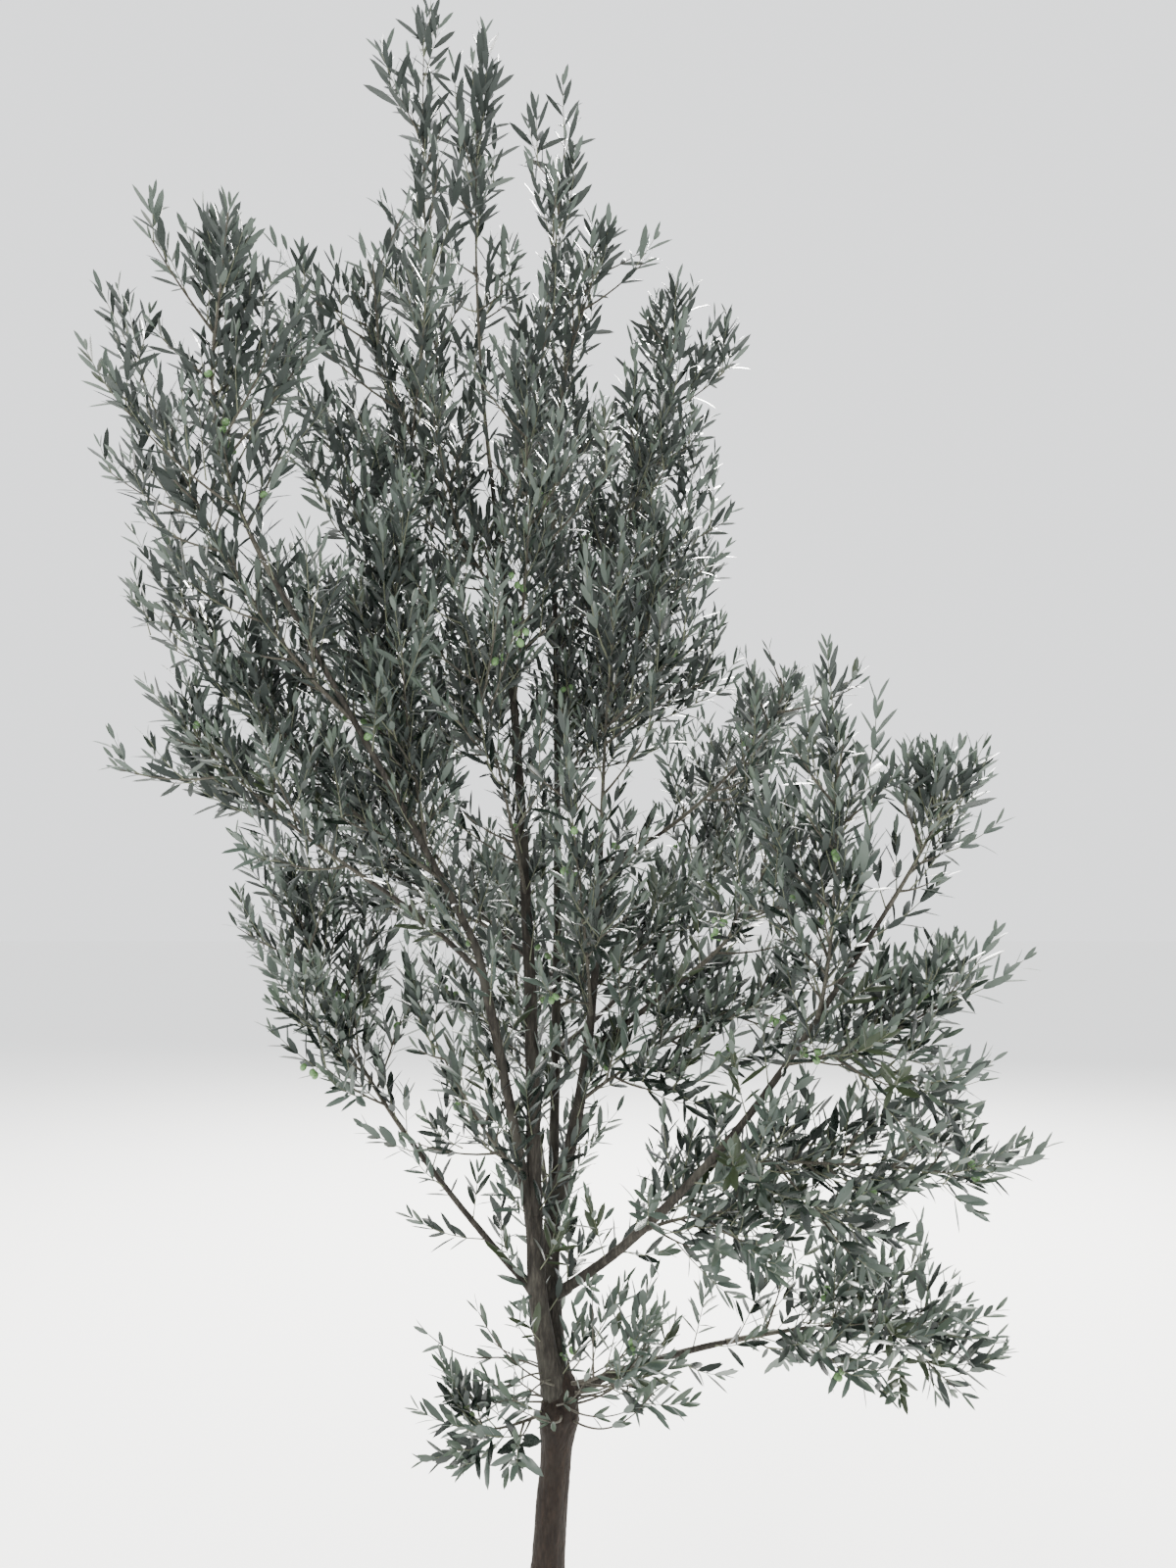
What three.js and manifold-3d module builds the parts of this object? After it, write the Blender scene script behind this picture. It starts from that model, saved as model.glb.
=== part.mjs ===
// A young olive tree, rooted in the ground, as trunk, boughs and masses of foliage.
// Millimetres, +Z up. The origin is the middle of the trunk's flat foot at ground level.
// The front of the tree is its -Y side, and +X is to the right seen from there.
import * as THREE from "three";
import { mergeVertices } from "three/addons/utils/BufferGeometryUtils.js";
import Module from "manifold-3d";

const wasm = await Module();
wasm.setup();

// Clearances
const JOINT_GAP = 0.3; // between two pieces that meet
const LIMB_CLEARANCE = 8; // from a leaf or twig to any limb's bark
const SHARE_MARGIN = 0.04; // how far inside its own space a leaf stays, as a share of the space
const PIECE_WELD = 1e-4; // corners of one piece closer than this are one
const WELD_TEST = 1e-3; // corners closer than this would meet in the finished file
const JOIN_WELDS = [0.02, 0.01, 0.04, 0.005, 0.08, 0]; // the same after joining, tried in this order

// The trunk: lean and radii from the ground to the knot where it forks
const TRUNK = { height: 615, lean: 45, leanPower: 1.3, sides: 13, steps: 12 };
const TRUNK_RADIUS = 31;
const ROOT_FLARE = { radius: 27, height: 120, ribs: 5, ribDepth: 0.13, turn: 0.6 };
const FORK_KNOT = { radius: 12, z: 515, height: 50 };
const TRUNK_CROWN = 555; // the trunk's top is rounded off above this height

// Limbs. Each leaves another limb at a share of its length and narrows from its foot to its tip.
// bend pulls its middle; run carries a limb straight on from the tip that it continues.
const LIMBS = {
  left_stem: { on: "trunk", at: 0.88, bend: [-20, -22, 700], tip: [-22, -30, 955], thick: [25, 19] },
  right_stem: { on: "trunk", at: 0.9, bend: [0, 45, 800], tip: [22, 50, 975], thick: [23, 19] },
  bough_a_lower: {
    on: "left_stem", at: 0.86, bend: [-70, -70, 1200], tip: [-145, -150, 1545], thick: [13, 10],
  },
  bough_a_upper: { on: "bough_a_lower", at: 1, run: 60, tip: [-550, -450, 2320], thick: [9.8, 5.5] },
  bough_b: { on: "left_stem", at: 1, run: 900, tip: [-145, 60, 2740], thick: [18, 5.5] },
  bough_left_low: {
    on: "bough_a_lower", at: 0.93, bend: [-250, -190, 1620], tip: [-370, -230, 1700], thick: [6.5, 4.8],
  },
  bough_left_hidden: {
    on: "left_stem", at: 0.62, bend: [-190, 10, 950], tip: [-330, 30, 1130], thick: [8.5, 5.5],
  },
  bough_c: { on: "right_stem", at: 0.8, bend: [35, 150, 1750], tip: [10, 160, 2600], thick: [13.5, 5.5] },
  bough_c_side: { on: "bough_c", at: 0.5, bend: [150, 70, 1740], tip: [280, 0, 1830], thick: [7.5, 5] },
  bough_d: {
    on: "right_stem", at: 0.97, bend: [118, 20, 1240], tip: [130, -100, 1790], thick: [18, 5.5],
  },
  bough_d_right: {
    on: "bough_d", at: 0.5, bend: [220, -60, 1410], tip: [330, -130, 1500], thick: [8, 5.5],
  },
  bough_back_high: {
    on: "bough_c", at: 0.66, bend: [40, 290, 2150], tip: [20, 380, 2360], thick: [6.5, 4.8],
  },
  bough_back_left: {
    on: "bough_c", at: 0.34, bend: [-130, 270, 1570], tip: [-290, 360, 1770], thick: [7.5, 5],
  },
  bough_back_right: {
    on: "bough_c", at: 0.24, bend: [140, 250, 1370], tip: [300, 370, 1560], thick: [8, 5.2],
  },
  bough_back_low: {
    on: "right_stem", at: 0.55, bend: [10, 220, 900], tip: [-40, 380, 1130], thick: [9, 6],
  },
  bough_e_lower: {
    on: "right_stem", at: 0.45, bend: [205, -160, 915], tip: [405, -285, 1180], thick: [12.5, 8.5],
  },
  bough_e_upper: { on: "bough_e_lower", at: 1, run: 180, tip: [690, -470, 1640], thick: [8.3, 4.6] },
  bough_f: { on: "trunk", at: 0.91, bend: [230, 40, 620], tip: [420, 80, 645], thick: [11, 6.5] },
};
const LIMB_STEP = 230; // length of limb for each ring of its mesh
const LIMB_LEAST_RINGS = 3;
const LIMB_SIDES = { thick: 8, thin: 6, limit: 9 }; // sides for a foot radius over and under the limit

// Masses of foliage. Each grows from a limb's tip to its highest leaf tip, or out of the limb's side
// where it has a place along it (at) and a bend for its stem.
// spread is the reach of its space at the widest, and fruit is how many olives it shows.
const MASSES = {
  foliage_a_top: { on: "bough_a_upper", tip: [-620, -480, 3100], spread: 330, fruit: 1 },
  foliage_a_left: {
    on: "bough_a_upper", at: 0.78, bend: [-640, -430, 2250],
    tip: [-880, -560, 2910], spread: 300, fruit: 0,
  },
  foliage_a_inner: {
    on: "bough_a_upper", at: 0.5, bend: [-290, -240, 2050],
    tip: [-480, -230, 2760], spread: 300, fruit: 0,
  },
  foliage_a_low: {
    on: "bough_a_upper", at: 0.42, bend: [-500, -260, 1880],
    tip: [-880, -270, 2440], spread: 300, fruit: 0,
  },
  foliage_b_left: {
    on: "bough_b", at: 0.8, bend: [-270, 0, 2600], tip: [-500, -270, 3220], spread: 330, fruit: 1,
  },
  foliage_top_left: {
    on: "bough_b", at: 0.88, bend: [-330, 20, 2780], tip: [-335, 60, 4040], spread: 260, fruit: 0,
  },
  foliage_top_middle: { on: "bough_b", tip: [-180, 60, 3950], spread: 260, fruit: 1 },
  foliage_top_right: {
    on: "bough_b", at: 0.88, bend: [-20, 90, 2850], tip: [50, 80, 3820], spread: 250, fruit: 0,
  },
  foliage_b_front: {
    on: "bough_b", at: 0.4, bend: [-70, -170, 1850], tip: [-230, -330, 2500], spread: 340, fruit: 1,
  },
  foliage_b_middle: {
    on: "bough_b", at: 0.66, bend: [-40, -150, 2330], tip: [-40, -230, 2920], spread: 310, fruit: 0,
  },
  foliage_b_back: {
    on: "bough_b", at: 0.55, bend: [-200, 60, 2100], tip: [-400, 180, 2620], spread: 320, fruit: 0,
  },
  foliage_left_low: { on: "bough_left_low", tip: [-830, -350, 2120], spread: 330, fruit: 1 },
  foliage_left_hidden: { on: "bough_left_hidden", tip: [-640, 60, 1800], spread: 340, fruit: 0 },
  foliage_left_stem: {
    on: "bough_a_lower", at: 0.25, bend: [-150, -60, 1140], tip: [-320, -60, 1500], spread: 240, fruit: 0,
  },
  foliage_c_top: { on: "bough_c", tip: [170, 60, 3470], spread: 330, fruit: 1 },
  foliage_c_right: {
    on: "bough_c", at: 0.82, bend: [240, 150, 2600], tip: [350, 100, 3290], spread: 280, fruit: 0,
  },
  foliage_c_middle: {
    on: "bough_c", at: 0.62, bend: [150, 110, 2080], tip: [400, 40, 2800], spread: 330, fruit: 1,
  },
  foliage_c_side: { on: "bough_c_side", tip: [610, -210, 2300], spread: 300, fruit: 1 },
  foliage_c_low: {
    on: "bough_c", at: 0.3, bend: [170, 110, 1470], tip: [370, 90, 1760], spread: 300, fruit: 0,
  },
  foliage_d_top: { on: "bough_d", tip: [190, -180, 2520], spread: 340, fruit: 1 },
  foliage_d_right: { on: "bough_d_right", tip: [480, -310, 1950], spread: 300, fruit: 0 },
  foliage_d_low: {
    on: "bough_d", at: 0.36, bend: [230, -60, 1330], tip: [660, -130, 1530], spread: 280, fruit: 0,
  },
  foliage_d_front: {
    on: "bough_d", at: 0.6, bend: [100, -190, 1560], tip: [40, -380, 2050], spread: 300, fruit: 0,
  },
  foliage_back_high: { on: "bough_back_high", tip: [20, 500, 3200], spread: 320, fruit: 0 },
  foliage_back_left: { on: "bough_back_left", tip: [-520, 480, 2620], spread: 330, fruit: 1 },
  foliage_back_right: { on: "bough_back_right", tip: [600, 480, 2330], spread: 330, fruit: 1 },
  foliage_back_low: { on: "bough_back_low", tip: [-160, 760, 1850], spread: 350, fruit: 0 },
  foliage_back_middle: {
    on: "bough_c", at: 0.7, bend: [150, 300, 2300], tip: [310, 420, 2940], spread: 320, fruit: 0,
  },
  foliage_back_side: {
    on: "bough_back_left", at: 0.5, bend: [-330, 300, 1660],
    tip: [-620, 330, 2000], spread: 320, fruit: 0,
  },
  foliage_e_top: { on: "bough_e_upper", tip: [850, -520, 2000], spread: 260, fruit: 1 },
  foliage_e_front: {
    on: "bough_e_upper", at: 0.62, bend: [590, -490, 1580], tip: [570, -600, 2130], spread: 240, fruit: 0,
  },
  foliage_e_side: {
    on: "bough_e_upper", at: 0.42, bend: [640, -400, 1350], tip: [930, -490, 1540], spread: 260, fruit: 0,
  },
  foliage_e_low: {
    on: "bough_e_lower", at: 0.86, bend: [560, -330, 1140],
    tip: [1010, -400, 1100], spread: 260, fruit: 0,
  },
  foliage_e_hanging: {
    on: "bough_e_lower", at: 0.5, bend: [340, -110, 1000], tip: [760, -310, 1010], spread: 250, fruit: 0,
  },
  foliage_f: { on: "bough_f", tip: [1030, 0, 700], spread: 250, fruit: 0 },
  foliage_fork_left: {
    on: "trunk", at: 0.87, bend: [-110, -60, 490], tip: [-260, -70, 620], spread: 220, fruit: 0,
  },
  foliage_fork_right: {
    on: "trunk", at: 0.95, bend: [130, -80, 600], tip: [270, -90, 820], spread: 220, fruit: 0,
  },
};
const SPACE_STEPS = 10; // straight stretches that stand for a curve where distances are measured
const SPACE = { from: 0.17, to: 0.86, fullness: 0.7, tip: 0.4 }; // how a space swells along its stem

// Twigs and leaves, both larger than life: each leaf stands for a spray of real ones.
// Angles are in radians, from whatever carries the twig or leaf.
const STEM = {
  sides: 3,
  footShare: 0.9, // radius of its foot, as a share of its bough's tip
  sideShoot: 4.5, // radius of its foot where it grows out of a limb's side
  tipRadius: 2.6,
  handle: 0.45, // how far it runs straight on from its bough, as a share of its length
  leastRings: 2,
  bow: 2, // how far a straight stretch of its mesh may lie off its curve
  bare: 0.05, // share of its length below the first node
  nodeStep: 94, // from one twig, or pair of leaves, to the next
  leastNodes: 5,
  leafyEvery: 3, // every third node carries leaves and no twig
};
const TWIG = {
  sides: 3,
  radius: 3.6,
  tipRadius: 2.4,
  step: 92, // from one pair of leaves to the next
  mostSteps: 3,
  stub: 16, // how far it runs on past its last pair
  open: 0.95,
  lift: 0.2, // how much it turns upwards
  stretch: 1.4, // the longest one's reach, as a share of the room round the stem
};
const LEAF = {
  long: 195,
  wide: 56,
  thick: 9,
  sides: 3,
  shortest: 0.8, // length of the shortest, as a share of the longest
  widest: 0.42, // where along it the width is greatest
  open: 0.68,
  sink: 1.2, // how far its root reaches past the middle of its twig
  room: 0.4, // how much of it a twig leaves room for at the edge of the space
};
const END_LEAF = { long: 0.9, lean: 0.15, reach: 0.8 }; // shares of a leaf's length
const GOLDEN_TURN = THREE.MathUtils.degToRad(137.5);
const OLIVE = { long: 30, wide: 24, hang: 11, sides: 5, rings: 4 };

// Colours and roughness
const TRUNK_BARK = { color: 0x7a6350, roughness: 0.9 };
const BOUGH_BARK = { color: 0x6d6254, roughness: 0.9 };
const FOLIAGE = { color: 0x74806a, roughness: 0.6 };

// Keys of the seeded choices: the draws at one node, and nodes of twigs, stem pairs and end leaves
const DRAW = { turn: 0, length: 1, lean: 3, reach: 5 };
const KEY = { twigNodes: 5, stemPair: 40, endLeaf: 90 };
const MIX = { seed: 12.9898, node: 78.233, draw: 37.719, scale: 43758.5453 };

const UP = new THREE.Vector3(0, 0, 1);
const RIGHT = new THREE.Vector3(1, 0, 0);

// The same keys always give the same number from 0 to 1.
function chance(seed, node, draw) {
  const mixed = Math.sin(seed * MIX.seed + node * MIX.node + draw * MIX.draw) * MIX.scale;
  return mixed - Math.floor(mixed);
}

// A direction square to another one, turned round it by an angle.
function aside(direction, angle) {
  const level = Math.abs(direction.z) > 0.9 ? RIGHT : UP;
  const first = new THREE.Vector3().crossVectors(level, direction).normalize();
  const second = new THREE.Vector3().crossVectors(direction, first);
  return first.multiplyScalar(Math.cos(angle)).addScaledVector(second, Math.sin(angle));
}

// A closed geometry as a solid, its corners closer than the weld distance made one.
function solidOf(geometry, weld = PIECE_WELD) {
  geometry.deleteAttribute("normal");
  geometry.deleteAttribute("uv");
  const merged = mergeVertices(geometry, weld);
  const vertProperties = new Float32Array(merged.attributes.position.array);
  const triVerts = new Uint32Array(merged.index.array);
  return new wasm.Manifold(new wasm.Mesh({ numProp: 3, vertProperties, triVerts }));
}

// A solid's surface as a geometry
function geometryOf(solid) {
  const { numProp, numVert, vertProperties, triVerts } = solid.getMesh();
  const places = new Float32Array(numVert * 3);
  for (let i = 0; i < numVert; i++) {
    places.set(vertProperties.subarray(i * numProp, i * numProp + 3), i * 3);
  }
  const geometry = new THREE.BufferGeometry();
  geometry.setAttribute("position", new THREE.BufferAttribute(places, 3));
  return geometry.setIndex(new THREE.BufferAttribute(triVerts, 1));
}

// True where no two faces run the same way along one edge, as they would where a sliver folds over.
function edgesAreSingle(solid) {
  const { index } = mergeVertices(geometryOf(solid).toNonIndexed(), WELD_TEST);
  const seen = new Set();
  for (let i = 0; i < index.count; i++) {
    const next = i % 3 === 2 ? i - 2 : i + 1;
    const [from, to] = [index.getX(i), index.getX(next)];
    const edge = `${from} ${to}`;
    if (from !== to && seen.has(edge)) return false;
    seen.add(edge);
  }
  return true;
}

// The largest closed body of a solid: loose scraps and sealed hollows are left behind.
function mainBody(solid) {
  const bodies = solid.decompose();
  const main = bodies.reduce((best, body) => (body.volume() > best.volume() ? body : best));
  for (const weld of JOIN_WELDS) {
    const welded = solidOf(geometryOf(main), weld);
    if (edgesAreSingle(welded)) return welded;
  }
  return main;
}

// The trunk's middle and its radius at a height
function trunkAxis(z) {
  return new THREE.Vector3(TRUNK.lean * (Math.max(z, 0) / TRUNK.height) ** TRUNK.leanPower, 0, z);
}

function trunkRadius(z) {
  const flare = ROOT_FLARE.radius * Math.exp(-z / ROOT_FLARE.height);
  const knot = FORK_KNOT.radius * Math.exp(-(((z - FORK_KNOT.z) / FORK_KNOT.height) ** 2));
  const over = Math.max(0, z - TRUNK_CROWN) / (TRUNK.height + 1 - TRUNK_CROWN);
  return (TRUNK_RADIUS + flare + knot) * Math.sqrt(1 - over * over);
}

// Low ribs run up from the roots and fade out above the flare.
function rib(z, angle) {
  const fade = Math.exp(-z / ROOT_FLARE.height);
  return 1 + ROOT_FLARE.ribDepth * fade * Math.cos(ROOT_FLARE.ribs * angle + ROOT_FLARE.turn);
}

function trunkSolid(gap) {
  const bar = new THREE.CylinderGeometry(1, 1, 1, TRUNK.sides, TRUNK.steps);
  bar.rotateX(Math.PI / 2);
  const places = bar.attributes.position;
  const point = new THREE.Vector3();
  for (let i = 0; i < places.count; i++) {
    point.fromBufferAttribute(places, i);
    const z = (point.z + 0.5) * TRUNK.height;
    const angle = Math.atan2(point.y, point.x);
    const radius = Math.hypot(point.x, point.y) * (trunkRadius(z) * rib(z, angle) + gap);
    const middle = trunkAxis(z);
    places.setXYZ(i, middle.x + radius * Math.cos(angle), middle.y + radius * Math.sin(angle), z);
  }
  return solidOf(bar);
}

// The trunk's axis as a curve, for what grows out of it
class TrunkCurve extends THREE.Curve {
  getPoint(t, target = new THREE.Vector3()) {
    return target.copy(trunkAxis(t * TRUNK.height));
  }
}

// A closed round bar along a curve, with flat ends square to it.
function barSolid(curve, sides, steps, radiusAt) {
  const bar = new THREE.CylinderGeometry(1, 1, 1, sides, steps);
  const places = bar.attributes.position;
  const point = new THREE.Vector3();
  for (let i = 0; i < places.count; i++) {
    point.fromBufferAttribute(places, i);
    const t = THREE.MathUtils.clamp(point.y + 0.5, 0, 1);
    const along = curve.getTangent(t);
    const across = aside(along, Math.atan2(point.x, point.z));
    const middle = curve.getPoint(t);
    middle.addScaledVector(across, Math.hypot(point.x, point.z) * radiusAt(t));
    places.setXYZ(i, middle.x, middle.y, middle.z);
  }
  return solidOf(bar);
}

// The curve, radii and measuring path of each limb, worked out from the limb that carries it
const limbs = new Map();
limbs.set("trunk", {
  curve: new TrunkCurve(),
  radiusAt: (t) => trunkRadius(t * TRUNK.height),
});

function limbCurve(size) {
  const carrier = limbs.get(size.on).curve;
  const foot = carrier.getPoint(size.at);
  const tip = new THREE.Vector3(...size.tip);
  if (!size.run) return new THREE.QuadraticBezierCurve3(foot, new THREE.Vector3(...size.bend), tip);
  const onward = carrier.getTangent(1);
  foot.addScaledVector(onward, JOINT_GAP);
  return new THREE.QuadraticBezierCurve3(foot, foot.clone().addScaledVector(onward, size.run), tip);
}

for (const [name, size] of Object.entries(LIMBS)) {
  const [footRadius, tipRadius] = size.thick;
  limbs.set(name, {
    curve: limbCurve(size),
    radiusAt: (t) => THREE.MathUtils.lerp(footRadius, tipRadius, t),
  });
}

// Points along a curve with the radius there, for measuring how near something comes.
function pathOf(curve, radiusAt) {
  return Array.from({ length: SPACE_STEPS + 1 }, (_, i) => {
    const t = i / SPACE_STEPS;
    return { point: curve.getPoint(t), radius: radiusAt(t) };
  });
}

const nearest = new THREE.Vector3();
const stretch = new THREE.Line3();

// Calls back with the distance to each stretch of a path, and the path's radius there.
function alongPath(path, point, look) {
  for (let i = 0; i < path.length - 1; i++) {
    stretch.set(path[i].point, path[i + 1].point);
    const t = stretch.closestPointToPointParameter(point, true);
    stretch.at(t, nearest);
    look(nearest.distanceTo(point), THREE.MathUtils.lerp(path[i].radius, path[i + 1].radius, t));
  }
}

function gapToPath(path, point) {
  let least = Infinity;
  alongPath(path, point, (distance, radius) => (least = Math.min(least, distance - radius)));
  return least;
}

function shareOfSpace(path, point) {
  let least = Infinity;
  alongPath(path, point, (distance, radius) => (least = Math.min(least, distance / radius)));
  return least;
}

for (const limb of limbs.values()) limb.path = pathOf(limb.curve, limb.radiusAt);

// The space of a mass swells along its stem, and its path runs on from the stem to the mass's tip.
function spaceRadius(spread, t) {
  const swell = Math.sin(Math.PI * THREE.MathUtils.lerp(SPACE.from, SPACE.to, t));
  return spread * swell ** SPACE.fullness;
}

function spaceOf(size, curve) {
  const path = pathOf(curve, (t) => spaceRadius(size.spread, t));
  return [...path, { point: new THREE.Vector3(...size.tip), radius: SPACE.tip * size.spread }];
}

// A mass's stem goes on from its bough's tip, and stops a leaf short of the mass's own tip.
function stemCurve(size) {
  const carrier = limbs.get(size.on);
  const foot = carrier.curve.getPoint(size.at ?? 1);
  const tip = new THREE.Vector3(...size.tip);
  const middle = size.bend ? new THREE.Vector3(...size.bend) : foot.clone();
  if (!size.bend) {
    const onward = carrier.curve.getTangent(1);
    foot.addScaledVector(onward, JOINT_GAP);
    middle.copy(foot).addScaledVector(onward, STEM.handle * foot.distanceTo(tip));
  }
  const last = tip.clone().sub(middle).normalize();
  tip.addScaledVector(last, -END_LEAF.reach * LEAF.long);
  return new THREE.QuadraticBezierCurve3(foot, middle, tip);
}

const masses = Object.entries(MASSES).map(([name, size], seed) => {
  const curve = stemCurve(size);
  const footRadius = size.bend ? STEM.sideShoot : limbs.get(size.on).radiusAt(1) * STEM.footShare;
  return {
    name,
    size,
    seed: seed + 1,
    curve,
    radiusAt: (t) => THREE.MathUtils.lerp(footRadius, STEM.tipRadius, t),
    space: spaceOf(size, curve),
  };
});

// True where a point is well inside the mass's own space and clear of every limb.
function isFree(mass, point) {
  const share = shareOfSpace(mass.space, point);
  if (share > 1) return false;
  for (const other of masses) {
    if (other !== mass && shareOfSpace(other.space, point) < share + SHARE_MARGIN) return false;
  }
  for (const limb of limbs.values()) {
    if (gapToPath(limb.path, point) < LIMB_CLEARANCE) return false;
  }
  return true;
}

// A leaf: its root, the way it points, its length, and the two ways across it.
function leafAt(root, direction, stem, long) {
  const across = new THREE.Vector3().crossVectors(stem, direction).normalize();
  const face = new THREE.Vector3().crossVectors(direction, across);
  const sunk = root.clone().addScaledVector(direction, -LEAF.sink);
  return { root: sunk, direction, across, face, long, wide: (LEAF.wide * long) / LEAF.long };
}

function leafPoint(leaf, along, sideways) {
  return leaf.root
    .clone()
    .addScaledVector(leaf.direction, along * leaf.long)
    .addScaledVector(leaf.across, sideways * leaf.wide);
}

function leafIsFree(mass, leaf) {
  const shares = [[1, 0], [0.7, 0], [0.2, 0], [LEAF.widest, 0.5], [LEAF.widest, -0.5]];
  return shares.every(([along, sideways]) => isFree(mass, leafPoint(leaf, along, sideways)));
}

// Two leaves that face each other across a node of a twig
function addPair(mass, plan, root, heading, turn, key) {
  for (const half of [0, Math.PI]) {
    const out = aside(heading, turn + half);
    const direction = heading.clone().multiplyScalar(Math.cos(LEAF.open));
    direction.addScaledVector(out, Math.sin(LEAF.open)).normalize();
    const share = THREE.MathUtils.lerp(LEAF.shortest, 1, chance(mass.seed, key, DRAW.length + half));
    const leaf = leafAt(root, direction, heading, share * LEAF.long);
    if (leafIsFree(mass, leaf)) plan.leaves.push(leaf);
  }
}

function addEndLeaf(mass, plan, root, heading, key) {
  const lean = aside(heading, 2 * Math.PI * chance(mass.seed, key, DRAW.lean));
  const direction = heading.clone().addScaledVector(lean, END_LEAF.lean).normalize();
  const leaf = leafAt(root, direction, lean, END_LEAF.long * LEAF.long);
  if (leafIsFree(mass, leaf)) plan.leaves.push(leaf);
}

// A twig grows step by step, a pair of leaves to each, and stops before a step that would leave
// its space. One with no room for a leaf isn't grown.
function growTwig(mass, plan, root, heading, reach, key) {
  const most = Math.min(TWIG.mostSteps, Math.round(reach / TWIG.step));
  const placeAt = (length) => root.clone().addScaledVector(heading, length);
  const leavesBefore = plan.leaves.length;
  let steps = 0;
  const stepIsFree = () =>
    [0.5, 1].every((share) => isFree(mass, placeAt((steps + share) * TWIG.step)));
  while (steps < most && stepIsFree()) steps++;
  for (let i = 1; i <= steps; i++) {
    const turn = (key + i) * (Math.PI / 2);
    addPair(mass, plan, placeAt(i * TWIG.step), heading, turn, key * KEY.twigNodes + i);
  }
  const tip = placeAt(steps * TWIG.step + TWIG.stub);
  if (steps > 0) addEndLeaf(mass, plan, tip, heading, key);
  if (plan.leaves.length === leavesBefore) return false;
  plan.twigs.push(new THREE.LineCurve3(root, tip));
  return true;
}

// Everything in one mass: its twigs, its leaves and its olives, which hang from its first twigs.
function growMass(mass) {
  const plan = { twigs: [], leaves: [], olives: [] };
  const length = mass.curve.getLength();
  const nodes = Math.max(STEM.leastNodes, Math.floor((length * (1 - STEM.bare)) / STEM.nodeStep));
  for (let i = 0; i < nodes; i++) {
    const t = THREE.MathUtils.lerp(STEM.bare, 1, (i + 1) / nodes);
    const root = mass.curve.getPoint(t);
    const along = mass.curve.getTangent(t);
    const turn = i * GOLDEN_TURN + 2 * Math.PI * chance(mass.seed, 0, DRAW.turn);
    const room = spaceRadius(mass.size.spread, t) - LEAF.room * LEAF.long;
    const reach = room * THREE.MathUtils.lerp(1, TWIG.stretch, chance(mass.seed, i, DRAW.reach));
    const heading = along.clone().multiplyScalar(Math.cos(TWIG.open));
    heading.addScaledVector(aside(along, turn), Math.sin(TWIG.open)).addScaledVector(UP, TWIG.lift);
    const mayBranch = (i + 1) % STEM.leafyEvery !== 0 && i < nodes - 1;
    const branched = mayBranch && growTwig(mass, plan, root, heading.normalize(), reach, i + 1);
    if (!branched) addPair(mass, plan, root, along, turn, i + KEY.stemPair);
  }
  addEndLeaf(mass, plan, mass.curve.getPoint(1), mass.curve.getTangent(1), KEY.endLeaf);
  for (const twig of plan.twigs.slice(0, mass.size.fruit)) {
    plan.olives.push(twig.getPoint(0.5).addScaledVector(UP, -OLIVE.hang));
  }
  return plan;
}

// Solids of the small pieces
// A leaf is pointed at both ends, and between them it has two edges and a raised midrib.
function leafSolid(leaf) {
  const blade = new THREE.SphereGeometry(1, LEAF.sides, 2);
  blade.scale(LEAF.thick / 2, leaf.long / 2, leaf.wide / 2 / Math.sin(Math.PI / LEAF.sides));
  const places = blade.attributes.position;
  for (let i = 0; i < places.count; i++) {
    const onRing = Math.abs(places.getY(i)) < 1;
    if (onRing) places.setY(i, leaf.long * (LEAF.widest - 0.5));
  }
  const middle = leafPoint(leaf, 0.5, 0);
  const [under, sideways] = [leaf.face.clone().negate(), leaf.across.clone().negate()];
  const turn = new THREE.Matrix4().makeBasis(under, leaf.direction, sideways);
  blade.applyMatrix4(turn.setPosition(middle));
  return solidOf(blade);
}

function twigSolid(line) {
  return barSolid(line, TWIG.sides, 1, (t) => THREE.MathUtils.lerp(TWIG.radius, TWIG.tipRadius, t));
}

function oliveSolid(middle) {
  const olive = new THREE.SphereGeometry(1, OLIVE.sides, OLIVE.rings);
  olive.scale(OLIVE.wide / 2, OLIVE.wide / 2, OLIVE.long / 2);
  olive.translate(middle.x, middle.y, middle.z);
  return solidOf(olive);
}

function limbSolid(name, gap = 0) {
  const { curve, radiusAt } = limbs.get(name);
  if (name === "trunk") return trunkSolid(gap);
  const steps = Math.max(LIMB_LEAST_RINGS, Math.round(curve.getLength() / LIMB_STEP));
  const sides = radiusAt(0) > LIMB_SIDES.limit ? LIMB_SIDES.thick : LIMB_SIDES.thin;
  return barSolid(curve, sides, steps, (t) => radiusAt(t) + gap);
}

// A limb that leaves another one's side is cut to sit on it, the joint gap clear.
function fittedLimb(name, made) {
  const size = LIMBS[name];
  let solid = limbSolid(name);
  if (name === "trunk") return solid;
  for (const other of made) {
    const carriesOn = size.run && other === size.on;
    const sharesFoot = other === size.on || LIMBS[other]?.on === size.on;
    if (sharesFoot && !carriesOn) solid = solid.subtract(limbSolid(other, JOINT_GAP));
  }
  return mainBody(solid);
}

// Enough rings for a stem's mesh to keep to its curve, where its twigs are rooted.
function stemRings({ v0, v1, v2 }) {
  const pull = v0.clone().addScaledVector(v1, -2).add(v2).length();
  return Math.max(STEM.leastRings, Math.ceil(Math.sqrt(pull / 4 / STEM.bow)));
}

function massSolid(mass) {
  const plan = growMass(mass);
  const pieces = [
    ...plan.twigs.map(twigSolid),
    ...plan.leaves.map(leafSolid),
    ...plan.olives.map(oliveSolid),
  ];
  let solid = barSolid(mass.curve, STEM.sides, stemRings(mass.curve), mass.radiusAt);
  for (const piece of pieces) solid = solid.add(piece);
  if (mass.size.bend) solid = solid.subtract(limbSolid(mass.size.on, JOINT_GAP));
  return mainBody(solid);
}

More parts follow.
